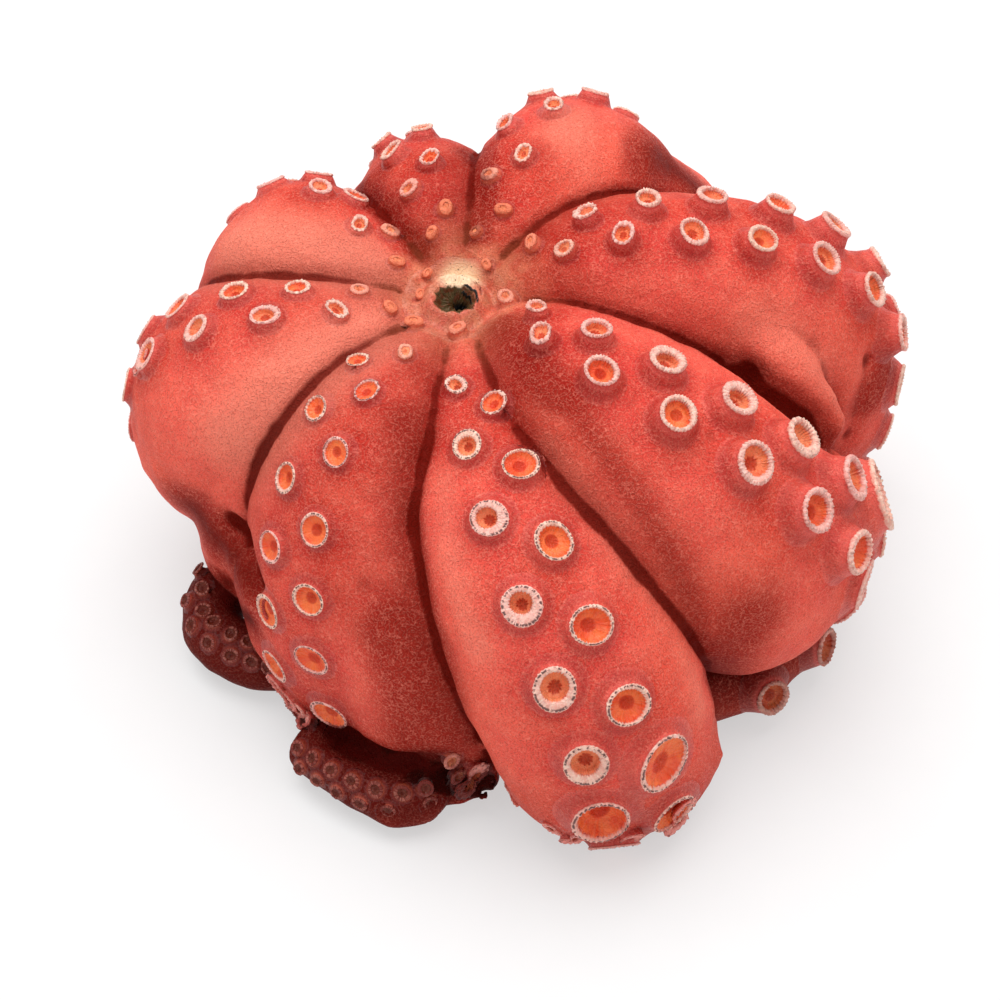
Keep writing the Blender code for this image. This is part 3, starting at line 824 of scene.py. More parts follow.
def sucker(pieces, spot, rng):
    """One sucker: a flared side out of the skin, a pale frayed rim, an orange bowl and its deeper middle.
    Those nearest the mouth are buds with hardly a bowl, the next ones have lacy rims."""
    across = spot["across"]
    radius = across / 2
    grown = across > GROWN_FROM
    around = next(points for least, points in RING_POINTS if across > least)
    turn = all_round(around)
    on_end = spot["arm"] in TIPS
    small = float(np.clip((BUD_FROM - across) / 0.0012, 0, 1))
    lacy = float(np.clip((LACY_FROM - across) / 0.0024, 0, 1))
    if on_end:
        small, lacy = END_BUDS[spot["arm"]], END_LACE
    lacy = max(lacy, SQUASHED_LACE * (spot["arm"] == "squashed"))
    rim = float(np.clip(spot["rim"] * rng.uniform(0.8, 1.2), 0.1, 0.6))
    if grown or spot["arm"] == "front" and spot["place"][2] < THIN_RIMS_BELOW:
        rim = min(rim, GROWN_RIM)
    rim = rim + (0.6 - rim) * small
    shown = STALK_SHOWN
    if grown:
        shown = FRONT_SHOWN if spot["arm"] == "front" else GROWN_SHOWN
    stalk = spot["stalk"] * (1 + (shown - 1) * ease((spot["axis"][2] - 0.05) / 0.4))
    stalk *= 1 - 0.55 * small
    top = 2 * stalk + 0.05 + 0.16 * small
    roll = 0.06 + 0.24 * stalk + 0.05 * lacy + 0.1 * small
    depth = spot["depth"] * (1 - 0.9 * small) * (GROWN_DEPTH if grown else 1)
    count = int(rng.integers(26, 38) - 14 * lacy)
    outer = 1 + (0.018 + 0.06 * stalk + 0.055 * lacy) * teeth(rng, turn, count)
    wide = 1 + 0.3 * np.cos(turn + rng.uniform(0, 2 * pi)) * (1 - small)
    inner = 1 - rim * wide + (0.03 + 0.08 * stalk + 0.06 * lacy) * teeth(rng, turn, count - 3)
    upper = (0.025 + 0.08 * stalk + 0.05 * lacy) * teeth(rng, turn, count + 4)
    oval = 1 + (spot["oval"] + 0.14 * lacy) * np.cos(2 * (turn - spot["oval_turn"]))
    lean = spot["lean"] * np.cos(turn - spot["oval_turn"] + 1.0)
    streak = rng.uniform(0, 1, around)
    hole = 0.36 * (1 - 0.62 * rim)
    ragged_hole = 1 + (0.03 + 0.22 * (rim > 0.24)) * teeth(rng, turn, 9)
    crest = 0.5 * (0.95 + inner)
    cone = float(ease((stalk - 0.1) / 0.15))
    # radius, height, how far it keeps to the skin, then rim, bowl, hole, dark ring and side
    flare = [
        (1.85, -0.06, 1, 0, 0, 0, 0, 0),
        (1.62, -0.01, 1, 0, 0, 0, 0, 0),
        (1.42 + 0.06 * cone, 0.04 * top, 1, 0, 0, 0, 0, 0.05),
        (1.26 + 0.12 * cone, 0.13 * top, 0.8, 0, 0, 0, 0, 0.15),
        (1.13 + 0.13 * cone, 0.3 * top, 0.5, 0, 0, 0, 0, 0.3),
        (1.04 + 0.11 * cone, 0.54 * top, 0.25, 0, 0, 0, 0, 0.6),
        (0.98 + 0.06 * cone, 0.78 * top, 0, 0.05, 0, 0, 0, 0.95),
        (0.985, 0.92 * top, 0, 0.25, 0, 0, 0.2, 1),
        (outer, top + 0.1 * roll, 0, 0.7, 0, 0, 0.5, 0.5),
        (1.01 * outer, top + 0.4 * roll, 0, 0.95, 0, 0, 0.3, 0),
        (0.985 * outer, top + 0.72 * roll + upper, 0, 1, 0, 0, 0.2, 0),
        (0.955, top + 0.88 * roll + upper, 0, 1, 0, 0, 1, 0),
        (0.91, top + 0.95 * roll + upper, 0, 1, 0, 0, 1, 0),
        (0.5 * (crest + 0.88), top + roll + upper, 0, 1, 0, 0, 0.15, 0),
        (0.4 * crest + 0.6 * inner, top + 0.92 * roll, 0, 1, 0, 0, 0, 0),
        (inner + 0.01, top + 0.55 * roll, 0, 0.95, 0.1, 0, 0, 0),
        (inner - 0.02, top + 0.05 * roll, 0, 0.7, 0.4, 0, 0, 0),
        (inner - 0.06, top - 0.3 * depth, 0, 0.38, 0.8, 0, 0, 0),
        (0.88 * (inner - 0.06), top - 0.58 * depth, 0, 0.15, 1, 0, 0, 0),
        (0.72 * (1 - rim), top - 0.8 * depth, 0, 0, 1, 0, 0, 0),
        (hole * 1.25, top - 0.93 * depth, 0, 0, 1, 0.1, 0, 0),
        (hole * 1.02 * ragged_hole, top - 1.02 * depth, 0, 0, 1, 0.7, 0, 0),
        (hole * 0.8 * ragged_hole, top - 1.2 * depth, 0, 0, 1, 1, 0, 0),
        (hole * 0.4, top - 1.32 * depth, 0, 0, 1, 0.8, 0, 0),
    ]
    one = np.ones(around)

    def column(k):
        return np.array([row[k] * one for row in flare])

    follow = column(2)[:, 0]
    free = (1 - follow)[:, None]
    radii = column(0) * (1 + free * (oval - 1)) * radius
    dome = small * BUD_DOME * (1 - np.clip(column(0), 0, 1) ** 2)
    rise = (column(1) + free * lean + dome) * radius
    values = [column(k) for k in range(3, 8)]
    values[3] = values[3] * spot["dark"] * (1 - small)
    alike = np.ones_like(radii)
    values += [alike * part for part in (spot["tone"], streak, small, rim, spot["arm"] == "squashed")]
    mean_radii = np.array([np.mean(row[0]) for row in flare])
    off = 0.16 * radius * (1 - rim) * np.clip(1 - mean_radii / 0.7, 0, 1)
    pieces.add(spot["place"], spot["axis"], radii, rise, follow, values, off, spot["oval_turn"])


def add_suckers(skin, material):
    """Each arm's suckers as a piece of its own."""
    rng = np.random.default_rng(20)
    names = ("rim", "bowl", "hole", "dark", "side", "tone", "streak", "bud", "broad", "dull")
    groups = {}
    for spot in skin.spots:
        oval, turn = rng.uniform(0.0, 0.09), rng.uniform(0, pi)
        spot.setdefault("oval", oval)
        spot.setdefault("oval_turn", turn)
        spot["lean"] = rng.uniform(0.0, 0.1)
        spot["depth"] = 0.15 + 0.8 * spot["rim"] * min(1, spot["stalk"] / 0.1) + rng.uniform(0, 0.08)
        spot["tone"] = rng.uniform(0, 1)
        groups.setdefault(spot["arm"], []).append(spot)
    for arm, spots in groups.items():
        pieces = Pieces(skin, names)
        for spot in spots:
            sucker(pieces, spot, rng)
        pieces.finish("suckers_" + arm.replace(" ", "_"), material)


# The mouth.

def add_mouth(skin, material):
    """The pale puckered flesh round the mouth, the pit in it and the dark edge of the beak."""
    turn = all_round(MOUTH_POINTS)
    rng = np.random.default_rng(8)
    pieces = Pieces(skin, ("pit", "core", "cream", "beak"))
    axis = np.array([0.0, 0.0, 1.0])
    top = skin.tree.ray_cast(Vector((MOUTH_REACH + 0.001, 0, 0.2)), Vector((0, 0, -1)))[0].z
    place = np.array([*PIT_SHIFT, top])
    pucker = 0.5 * np.cos(13 * turn + 0.8 * np.sin(2 * turn)) + 0.5 * np.cos(22 * turn + 2.0)
    uneven = teeth(rng, turn, 9)
    x, y = round_axis(axis, turn)[2].T[:2]
    behind = ease(0.5 + 0.5 * y)
    ahead = ease(0.1 - y)
    pit_edge = PIT_RADIUS * (1 + 0.22 * x * x - 0.24 * behind + 0.34 * ahead) * (1 + 0.07 * uneven)
    rows = []
    for share in np.linspace(1.0, 0.0, MOUTH_RINGS):
        radius = 0.0003 + (MOUTH_REACH - 0.0003) * share ** 1.2
        follow = float(ease((share - 0.5) / 0.35))
        px, py = radius * x, radius * y
        core = np.exp(-(((px - CORE_SHIFT) / 0.0019) ** 2 + ((py + 0.0004) / 0.0017) ** 2) ** 1.4)
        bulge = 0.0007 * behind * bell((radius - 0.0066) / 0.0022)
        wrinkle = 0.00022 * pucker * ease((radius - pit_edge) / 0.001)
        wrinkle = wrinkle * ease((MOUTH_REACH - radius) / 0.004)
        inside = 1 - ease((radius - 0.55 * pit_edge) / (0.52 * pit_edge))
        sink = -PIT_DEPTH * inside * (0.42 + 0.58 * core)
        folds = 0.00035 * inside * np.cos(17 * turn + 5 * np.sin(turn))
        lower = -0.0006 * ease((0.0085 - radius) / 0.004)
        edge = -0.00012 if share > 0.98 else 0.00005
        lip = bell((radius - 1.02 * pit_edge) / 0.00042)
        other = bell((radius - 0.74 * pit_edge) / 0.0003)
        beak = ease((x - 0.35) / 0.4) * np.maximum(lip, other) * ease((y + 0.75) / 0.4)
        ridge = 0.0005 * beak
        pit = 1 - ease((radius - 0.8 * pit_edge) / (0.3 * pit_edge))
        cream = np.exp(-(((px - 0.0012) / 0.0058) ** 2 + ((py - 0.0072) / 0.0056) ** 2) ** 1.5)
        rows.append((radius + 0 * turn, bulge + wrinkle + sink + folds + lower + edge + ridge, follow,
                     pit, core, cream, beak))
    radii, rise, follow, *values = [np.array(column) for column in zip(*rows)]
    pieces.add(place, axis, radii, rise, follow, values, above=ease(values[2] / 0.1))
    pieces.finish("mouth", material)


# Materials.

def colour(red, green, blue):
    """A colour given as screen values of 0 to 255."""
    parts = [v / 255 for v in (red, green, blue)]
    return tuple(v / 12.92 if v <= 0.04045 else ((v + 0.055) / 1.055) ** 2.4 for v in parts) + (1.0,)


class Graph:
    """A material's nodes, made and joined by short calls."""

    def __init__(self, name):
        self.material = bpy.data.materials.new(name)
        self.material.use_nodes = True
        self.tree = self.material.node_tree
        self.shader = self.tree.nodes["Principled BSDF"]
        self.place = self.node("ShaderNodeTexCoord").outputs["Object"]

    def node(self, kind, **settings):
        made = self.tree.nodes.new(kind)
        for name, value in settings.items():
            setattr(made, name, value)
        return made

    def put(self, socket, value):
        """Joins the socket to another, or to a value that the corners carry, or sets it."""
        if isinstance(value, str):
            value = self.value(value)
        if isinstance(value, bpy.types.NodeSocket):
            self.tree.links.new(value, socket)
        else:
            socket.default_value = value

    def value(self, name):
        return self.node("ShaderNodeAttribute", attribute_name=name).outputs["Fac"]

    def noise(self, scale, detail=2.0, rough=0.55):
        made = self.node("ShaderNodeTexNoise")
        self.put(made.inputs["Vector"], self.place)
        for name, value in (("Scale", scale), ("Detail", detail), ("Roughness", rough)):
            made.inputs[name].default_value = value
        return made.outputs["Fac"]

    def cells(self, scale):
        made = self.node("ShaderNodeTexVoronoi")
        self.put(made.inputs["Vector"], self.place)
        made.inputs["Scale"].default_value = scale
        return made

    def math(self, operation, a, b=0.0):
        made = self.node("ShaderNodeMath", operation=operation)
        self.put(made.inputs[0], a)
        self.put(made.inputs[1], b)
        return made.outputs[0]

    def times(self, a, b):
        return self.math("MULTIPLY", a, b)

    def plus(self, a, b):
        return self.math("ADD", a, b)

    def minus(self, a, b):
        return self.math("SUBTRACT", a, b)

    def larger(self, a, b):
        return self.math("MAXIMUM", a, b)

    def span(self, value, low, high, to_low=0.0, to_high=1.0):
        made = self.node("ShaderNodeMapRange", interpolation_type="SMOOTHSTEP")
        for name, part in (("Value", value), ("From Min", low), ("From Max", high),
                           ("To Min", to_low), ("To Max", to_high)):
            self.put(made.inputs[name], part)
        return made.outputs[0]

    def mix(self, share, a, b):
        made = self.node("ShaderNodeMix", data_type="RGBA")
        self.put(made.inputs[0], share)
        self.put(made.inputs[6], a)
        self.put(made.inputs[7], b)
        return made.outputs[2]

    def tint(self, tone, *layers):
        """The tone with other colours laid over it in turn, each by a share times its most."""
        for over, share, most in layers:
            tone = self.mix(self.times(share, most), tone, over)
        return tone

    def bump(self, height, distance):
        made = self.node("ShaderNodeBump")
        made.inputs["Distance"].default_value = distance
        self.put(made.inputs["Height"], height)
        return made.outputs["Normal"]


def skin_colours(graph):
    """Colour and height of cooked skin, used on the body, round the suckers and round the mouth, with
    painted shade in hollows, furrows and low down and painted light on ridges, flanks and lit places.
    """
    broad = graph.span(graph.noise(24.0, 2.0), 0.36, 0.64)
    blotch = graph.span(graph.noise(130.0, 3.0, 0.6), 0.34, 0.68)
    grain = graph.noise(900.0, 0.6, 0.5)
    lines = graph.span(graph.math("ABSOLUTE", graph.minus(grain, 0.5)), 0.0, 0.08, 1.0, 0.0)
    grit = graph.noise(2400.0, 1.0, 0.5)
    patch = graph.span(graph.noise(75.0, 3.0, 0.6), 0.34, 0.6, 0.45, 1.0)
    uneven = graph.span(graph.noise(260.0, 3.0, 0.6), 0.34, 0.62, 0.3, 0.86)
    # The colour of painted shade, browner near the mouth.
    dark = graph.mix(graph.span("mouth", 0.01, 0.45), SKIN_DARK, FURROW_BROWN)
    # Where shade is painted: in folds, beside furrows, where the view out is closed off and along the
    # darkest painted paths.
    hollow = graph.larger(graph.span("crease", 0.02, 0.6), graph.times("furrow", 0.66))
    hollow = graph.larger(hollow, graph.span("shade", 0.26, 0.72))
    hollow = graph.larger(hollow, graph.span("painted_shading", 0.45, 1.0))
    # Paler grain lines, and painted glints from the fine grit, faded out in painted shade and on the ends.
    light = graph.plus(graph.times(lines, 0.28), graph.times(graph.span(grit, 0.5, 0.78), 0.3))
    fade = graph.minus(1.0, graph.larger(graph.times("tip", 0.75), graph.times(hollow, 0.96)))
    tone = graph.tint(
        graph.mix(broad, SKIN_RED, SKIN_PINK),
        (SKIN_LIGHT, blotch, 0.46),
        # Painted highlight on ridges.
        (SKIN_LIGHT, graph.span("crease", 0.0, -0.8), 0.3),
        # Away from the suckers the skin is lighter, partly painted light; near and between them redder,
        # partly their own tone and partly painted shade at their bases.
        (SKIN_LIGHT, graph.minus(1.0, "strip"), 0.5),
        (STRIP_RED, graph.times("strip", patch), 0.78),
        # Painted shade near the floor and on faces turned down.
        (SKIN_DEEP, "low", 0.8),
        (SKIN_CREAM, graph.span("mouth", 0.04, 0.9), uneven),
        # Painted shade where the view out is closed off.
        (SKIN_DEEP, graph.span("shade", 0.1, 0.5), 0.6),
        # Painted light, then painted shade, along the listed paths.
        (SKIN_PAINTED_LIGHT, graph.span("painted_shading", 0.0, -1.0), 0.75),
        (SKIN_DEEP, graph.span("painted_shading", 0.0, 0.55), 0.8),
        # Painted shade in hollows and furrows.
        (dark, hollow, 0.93),
        (TIP_BROWN, "tip", 0.94),
        # Near-black painted shade in the deepest crevices.
        (CREVICE_SHADE, graph.span("painted_shading", 0.8, 1.0), 0.92),
        # Paler grain lines and painted glints.
        (LINE_AND_GLINT_PALE, light, fade),
        (SKIN_DARK, graph.span(grit, 0.5, 0.26), 0.34))
    height = graph.plus(graph.times(lines, 0.6), graph.times(grit, 0.4))
    return tone, graph.plus(height, graph.times(blotch, 1.2))


def finish_flesh(graph, tone, height, rough, soft=0.1, distance=0.00022, shine=0.02):
    inputs = graph.shader.inputs
    graph.put(inputs["Base Color"], tone)
    graph.put(inputs["Roughness"], rough)
    inputs["Subsurface Weight"].default_value = soft
    inputs["Subsurface Radius"].default_value = (1.0, 0.3, 0.2)
    inputs["Subsurface Scale"].default_value = 0.0018
    inputs["Specular IOR Level"].default_value = shine
    graph.put(inputs["Normal"], graph.bump(height, distance))
    return graph.material


def skin_material():
    graph = Graph("cooked skin")
    tone, height = skin_colours(graph)
    return finish_flesh(graph, tone, height, 0.47)


def sucker_material():
    """Skin on the side, pale frayed rim, dark specks at its edge, orange bowl, redder hole."""
    graph = Graph("suckers")
    tone, height = skin_colours(graph)
    # Painted shade round the foot of each stalk.
    foot = graph.times(graph.span("side", 0.0, 0.12), graph.span("side", 0.75, 0.25))
    tone = graph.tint(
        tone,
        (SKIN_DEEP, foot, 0.26),
        (SIDE, graph.span("side", 0.5, 1.0), 0.45),
        (BUD_ORANGE, graph.times(graph.span("side", 0.05, 0.6), "bud"), 0.45))
    specks = graph.span(graph.noise(1000.0, 2.0, 0.6), 0.4, 0.62)
    fine = graph.plus(graph.times("streak", 0.5), graph.times(specks, 0.5))
    pale = graph.tint(
        graph.mix("tone", RIM_CREAM, RIM_PINK),
        (RIM_DEEP, fine, 0.6),
        (BUD_ORANGE, "bud", 0.92),
        # Painted shade on rims near the floor or facing it.
        (RIM_DEEP, "low", 0.45),
        (TIP_RIM, "tip", graph.span("streak", 0.2, 0.9, 1.0, 0.7)),
        (SIDE, "dull", 0.5))
    # Painted shade on rims where the skin's painted shading is dark.
    pale = graph.mix(graph.span("painted_shading", 0.3, 0.9), pale, TIP_RIM)
    ragged = graph.times(graph.minus(fine, 0.5), 0.45)
    tone = graph.mix(graph.span(graph.plus("rim", ragged), 0.36, 0.76), tone, pale)
    bowl = graph.tint(
        graph.mix(graph.span(graph.noise(230.0, 2.0), 0.3, 0.7), BOWL_LIGHT, BOWL_DEEP),
        (BOWL_PALE, graph.span("broad", 0.2, 0.34), 0.55),
        (RIM_CREAM, "streak", 0.09),
        (HOLE, graph.span("hole", 0.1, 0.9), graph.span("bud", 0.0, 1.0, 0.7, 0.15)),
        (SKIN_DEEP, "dull", 0.55),
        (TIP_BOWL, "tip", 0.93))
    tone = graph.mix(graph.span(graph.plus("bowl", ragged), 0.3, 0.75), tone, bowl)
    dashes = graph.span(graph.plus("streak", graph.times(specks, 0.5)), 0.5, 0.85)
    dark = graph.times(graph.span("dark", 0.15, 0.8), dashes)
    tone = graph.tint(tone, (RING_DARK, dark, 0.85))
    rough = graph.span("bowl", 0.2, 0.8, 0.46, 0.28)
    return finish_flesh(graph, tone, graph.plus(height, graph.times(fine, 0.9)), rough, 0.15, 0.00016, 0.24)


def mouth_material():
    graph = Graph("mouth")
    tone, height = skin_colours(graph)
    dots = graph.cells(1100.0)
    chance = graph.math("GREATER_THAN", dots.outputs["Color"], 0.72)
    dot = graph.times(graph.span(dots.outputs["Distance"], 0.3, 0.15), chance)
    dot = graph.times(dot, graph.span("cream", 0.15, 0.6))
    strands = graph.span(graph.noise(620.0, 2.0, 0.6), 0.42, 0.62)
    torn = graph.times(graph.minus(graph.noise(900.0, 2.0, 0.6), 0.5), 1.6)
    tone = graph.mix(graph.span("cream", 0.1, 0.8), tone, LIP_CREAM)
    tone = graph.tint(tone, (DOT_BLACK, dot, 0.8))
    inside = graph.mix(strands, PIT_OLIVE, PIT_BROWN)
    tone = graph.mix(graph.span(graph.plus("pit", torn), 0.2, 0.8), tone, inside)
    tone = graph.mix(graph.span("core", 0.15, 0.7), tone, PIT_BLACK)
    tone = graph.mix(graph.span("beak", 0.35, 0.8), tone, PIT_BLACK)
    return finish_flesh(graph, tone, height, 0.34, 0.08, 0.00018, 0.3)


def floor_material():
    """Pale board that glows a little, so that shadows on it stay light."""
    graph = Graph("pale floor")
    low, high = ((tone, tone, tone, 1) for tone in (FLOOR_ALBEDO - FLOOR_GRAIN, FLOOR_ALBEDO + FLOOR_GRAIN))
    inputs = graph.shader.inputs
    graph.put(inputs["Base Color"], graph.mix(graph.noise(90.0, 2.0), low, high))
    inputs["Roughness"].default_value = 0.9
    inputs["Specular IOR Level"].default_value = 0.0
    inputs["Emission Color"].default_value = (1.0, 1.0, 1.0, 1.0)
    inputs["Emission Strength"].default_value = FLOOR_GLOW
    return graph.material


# Numbers of the look.

RETURN_TIP = 0.55
MOUND = 0.55
STEEPEST = 0.4
TURNED_IN = 0.5
TURNED_DOWN = 0.3
LOOK_FROM = 0.006
LOOK_REACH = 0.014
LEAST_LIFT = 0.00025
MOAT = 0.06
BOWL_SUNK = 0.75
APART = 0.47
# The skin faces as the sucker does by at least this much.
LEAST_ALIKE = 0.5
# Height over the floor: a share of the sucker's width, and more.
LOWEST = (0.35, 0.0012)
END_RIMS = (0.15, 0.2)
BUD_FORM = dict(stalk=0.15, rim=0.35, dark=0.2)
SQUASHED_FORM = dict(stalk=0.1, dark=0.6)
BUDS_APART = 0.4
RING_POINTS = ((0.0068, 96), (0.004, 56), (0.0, 36))
STALK_SHOWN = 2.0
FRONT_SHOWN = 0.7
GROWN_SHOWN = 0.95
GROWN_DEPTH = 0.55
GROWN_FROM = 0.015
GROWN_RIM = 0.13
THIN_RIMS_BELOW = 0.04
BUD_FROM = 0.0052
BUD_DOME = 0.34
END_BUDS = {"left loop": 0.3, "front end": 0.5, "right return": 0.0}
END_LACE = 0.2
SQUASHED_LACE = 0.8
LACY_FROM = 0.008
WEB_REACH = 0.0065
WEB_TURNS = 60
STRIP_REACH = 0.0095
WAVE_LARGE = 0.0008
WAVE_SMALL = 0.00034
FURROW_DEPTH = 0.0026
FURROW_REACH = 0.0019
FURROW_SHADE = 0.005
FLANK_SHADE = 0.013
END_FURROW = 0.0022
FAR = 0.03
SHADE_REACH = 0.034
SHADE_RAYS = 22
SHADE_LIFT = 0.0006
FOLDS = 0.00055
CREASE_DEPTH = 0.0012
CREASE_TURNS = 24
FLAT_BELOW = 0.001
PAINTED_SHADING_STEPS = 30
HOLLOW_STEPS = 50
MOUTH_REACH = 0.0135
MOUTH_SUNK = 0.004
PIT_SHIFT = (-0.0012, -0.0012)
CORE_SHIFT = 0.0014
PIT_RADIUS = 0.0046
PIT_DEPTH = 0.006
MOUTH_POINTS = 200
MOUTH_RINGS = 46

# Deeper hollows and, below 0, a bump: path, reach to both sides, depth.
HOLLOWS = {
    "behind the front left": (((0.0708, -148, 0.053), (0.0718, -141, 0.054), (0.0742, -137, 0.052),
        (0.0763, -133.2, 0.0504), (0.0787, -130, 0.0489)), 0.004, 0.0055),
    "inside the loop": (((0.0713, -154, 0.0285), (0.0705, -148, 0.0285), (0.0715, -141, 0.03)), 0.005,
        0.0012),
    "over the front end": (((0.0829, -113.2, 0.0166), (0.084, -110.2, 0.0176), (0.0858, -106.8, 0.0193),
        (0.0878, -103.5, 0.0202), (0.0895, -100.4, 0.0204), (0.091, -97.3, 0.0198),
        (0.0909, -94.2, 0.0173)), 0.003, 0.0042),
    "under the lobe": (((0.074, -13, 0.0845), (0.0792, -15, 0.0831), (0.0871, -14.6, 0.0781),
        (0.095, -13.5, 0.0718), (0.098, -13, 0.062)), 0.0042, 0.008),
    "foot of the front end": (((0.0941, -101.2, 0.006), (0.0932, -97.3, 0.006), (0.0911, -93.9, 0.008)),
        0.006, -0.003),
    "nub under the front": (((0.0916, -84.4, 0.0085), (0.0876, -84.4, 0.0085)), 0.0045, -0.0042),
    "beside the lobe": (((0.1074, 2.1, 0.0693), (0.1066, 0.6, 0.0629), (0.1052, -0.5, 0.0586),
        (0.1031, -1.1, 0.0458)), 0.0034, 0.0022),
}

# Painted shade and, below 0, painted light on the skin: path, reach to both sides, strength. Near 1 the
# shade turns near black.
PAINTED_SHADING = {
    "under the left": (((0.074, -158.8, 0.049), (0.0714, -150.2, 0.0451), (0.0749, -137.5, 0.0491)),
        0.0105, 0.85),
    "behind the front left": (((0.0705, -141.0, 0.0554), (0.0734, -136.3, 0.0551),
        (0.0762, -132.6, 0.0518), (0.0789, -129.9, 0.0485)), 0.0046, 0.88),
    "foot of the front left": (((0.0804, -102.1, 0.063), (0.087, -98.1, 0.0487), (0.0894, -96.1, 0.0298)),
        0.012, 0.62),
    "over the front end": (((0.0827, -112.5, 0.0177), (0.084, -110.2, 0.0176), (0.0878, -103.5, 0.0202),
        (0.091, -97.3, 0.0198), (0.0907, -94.2, 0.0179), (0.0887, -90.2, 0.0125),
        (0.0876, -87.4, 0.0118)), 0.0058, 1.5),
    "inside the loop": (((0.0706, -152.5, 0.0255), (0.0742, -140.7, 0.033), (0.0766, -135.3, 0.038)),
        0.007, 0.9),
    "right of the front left": (((0.0434, -108.0, 0.0973), (0.054, -102.1, 0.0898),
        (0.0732, -97.5, 0.0739), (0.082, -94.6, 0.0628), (0.0863, -93.1, 0.0486),
        (0.0885, -92.5, 0.0353)), 0.009, 0.48),
    "under the front right": (((0.098, -52.0, 0.044), (0.0972, -50.3, 0.033), (0.092, -42.0, 0.023)),
        0.008, 0.66),
    "behind the back right": (((0.084, 38.0, 0.084), (0.08, 41.8, 0.091), (0.073, 43.2, 0.099),
        (0.06, 41.0, 0.109)), 0.0105, 0.85),
    "left of the back": (((0.0512, 120.1, 0.0936), (0.0341, 123.5, 0.1002), (0.018, 126.2, 0.1005)),
        0.005, 0.8),
    "right of the back": (((0.0478, 86.0, 0.1048), (0.0377, 78.0, 0.108), (0.0179, 74.0, 0.1052)), 0.0048,
        0.7),
    "left of the front right": (((0.0185, -51.7, 0.1029), (0.0393, -60.6, 0.1056),
        (0.0573, -60.2, 0.1018), (0.0767, -58.0, 0.0907), (0.089, -55.9, 0.0746),
        (0.0953, -54.0, 0.0555)), 0.0072, 0.6),
    "low on the front right": (((0.102, -46.5, 0.06), (0.0997, -49.3, 0.048), (0.0972, -50.3, 0.036)),
        0.012, 0.52),
    "right of the lobe": (((0.1083, 0.8, 0.0566), (0.1119, 3.7, 0.0601)), 0.008, 0.6),
    "web of the left": (((0.0628, -148.9, 0.0817), (0.0472, -147.1, 0.0941), (0.0277, -148.3, 0.0984)),
        0.014, -0.95),
    "side of the back left": (((0.06, 162.0, 0.0984), (0.0422, 162.1, 0.1023), (0.0258, 161.8, 0.1012)),
        0.012, -1.0),
    "left of the front": (((0.056, -95.4, 0.092), (0.0735, -92.8, 0.083), (0.0907, -87.9, 0.07)), 0.006,
        -0.6),
    "right of the front": (((0.0559, -66.5, 0.1001), (0.0776, -61.5, 0.0876), (0.093, -58.0, 0.0638),
        (0.1051, -57.3, 0.0446)), 0.0066, -0.65),
    "lobe": (((0.0741, -4.0, 0.0923), (0.088, -6.0, 0.086), (0.0965, -6.5, 0.076)), 0.01, -0.55),
    "top of the back right": (((0.0547, 55.1, 0.1138), (0.0527, 45.0, 0.1102)), 0.012, -0.7),
}

# Limbs that lie over the next ones, so that the painted shade of a furrow reaches farther onto the limb
# beneath; the others count as 0.
OVER = {"front": 3, "left": 2, "front right": 2, "back left": 2, "right": 1, "back right": 2}

KEY_PLACE = (-0.05, 0.38, 1.7)
KEY_AIM = (0, 0, 0.04)
KEY_SIZE = 2.0
KEY_POWER = 29.0
SKY = 0.66
FLOOR_ALBEDO = 0.4
FLOOR_GRAIN = 0.008
FLOOR_GLOW = 0.525
FLOOR_HALF = 4.0

SKIN_RED = colour(206, 40, 30)
SKIN_PINK = colour(226, 62, 62)
SKIN_LIGHT = colour(255, 114, 92)
STRIP_RED = colour(168, 24, 18)
# Pale colour of painted light.
SKIN_PAINTED_LIGHT = colour(255, 146, 122)
# SKIN_DEEP and SKIN_DARK are mostly colours of painted shade; SKIN_DARK also colours dark grit.
SKIN_DEEP = colour(142, 16, 8)
SKIN_DARK = colour(100, 12, 4)
SKIN_CREAM = colour(240, 156, 116)
# Near-black colour of painted shade for the deepest crevices.
CREVICE_SHADE = colour(40, 5, 3)
# Brown of painted shade in the furrows near the mouth.
FURROW_BROWN = colour(112, 46, 26)
TIP_BROWN = colour(80, 12, 9)
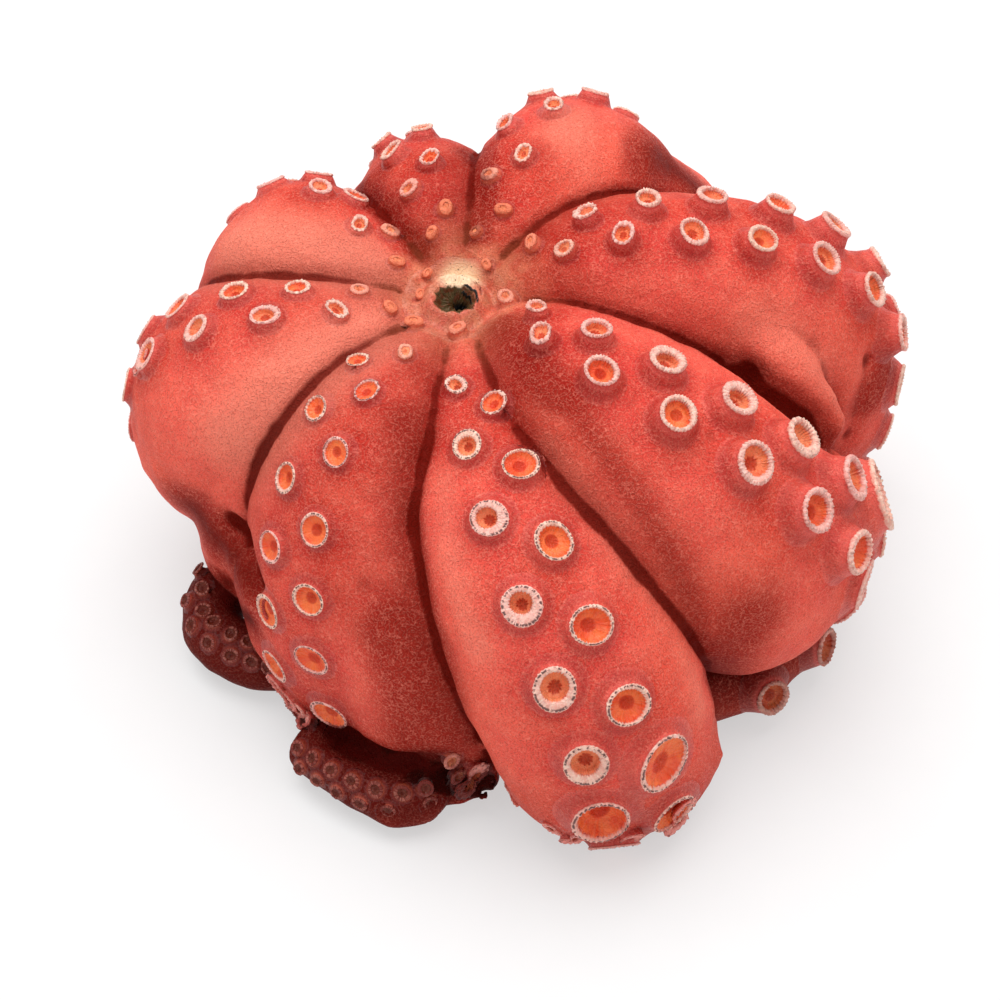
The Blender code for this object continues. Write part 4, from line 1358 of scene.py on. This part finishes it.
# Colour of paler grain lines and of painted glints.
LINE_AND_GLINT_PALE = colour(255, 150, 128)
SIDE = colour(224, 98, 88)
RIM_CREAM = colour(252, 218, 196)
RIM_PINK = colour(250, 196, 186)
RIM_DEEP = colour(222, 120, 104)
TIP_RIM = colour(112, 36, 28)
BUD_ORANGE = colour(230, 116, 78)
BOWL_LIGHT = colour(255, 122, 60)
BOWL_DEEP = colour(240, 78, 34)
BOWL_PALE = colour(254, 166, 120)
TIP_BOWL = colour(84, 18, 13)
HOLE = colour(202, 46, 24)
RING_DARK = colour(64, 38, 42)
LIP_CREAM = colour(244, 208, 170)
DOT_BLACK = colour(56, 44, 34)
PIT_OLIVE = colour(92, 74, 44)
PIT_BROWN = colour(104, 54, 28)
PIT_BLACK = colour(12, 10, 10)


# Light, floor and camera.

def turn_to(thing, aim):
    thing.rotation_euler = (Vector(aim) - thing.location).to_track_quat("-Z", "Y").to_euler()


def set_stage():
    world = bpy.data.worlds.new("studio")
    world.use_nodes = True
    sky = world.node_tree.nodes["Background"]
    sky.inputs["Color"].default_value = (1.0, 1.0, 1.0, 1.0)
    sky.inputs["Strength"].default_value = SKY
    bpy.context.scene.world = world
    bpy.context.scene.view_settings.view_transform = "Standard"
    light = bpy.data.lights.new("key", "AREA")
    light.shape = "DISK"
    light.size = KEY_SIZE
    light.energy = KEY_POWER
    lamp = in_scene("key", light)
    lamp.location = KEY_PLACE
    turn_to(lamp, KEY_AIM)
    far = FLOOR_HALF
    mesh = bpy.data.meshes.new("floor")
    mesh.from_pydata([(-far, -far, 0), (far, -far, 0), (far, far, 0), (-far, far, 0)], [], [(0, 1, 2, 3)])
    mesh.materials.append(floor_material())
    floor = in_scene("floor", mesh)


def set_camera():
    data = bpy.data.cameras.new("camera")
    data.lens = LENS
    camera = in_scene("camera", data)
    camera.location = Vector(CAMERA_FROM_AXIS) + Vector(MOUTH_AXIS)
    turn_to(camera, Vector(AIM_FROM_AXIS) + Vector(MOUTH_AXIS))
    bpy.context.scene.camera = camera


def main():
    set_camera()
    set_stage()
    skin = Skin()
    add_suckers(skin, sucker_material())
    add_mouth(skin, mouth_material())
    mesh = skin.thing.data
    bpy.data.objects.remove(skin.thing, do_unlink=True)
    dress("skin", mesh, skin_material())


main()
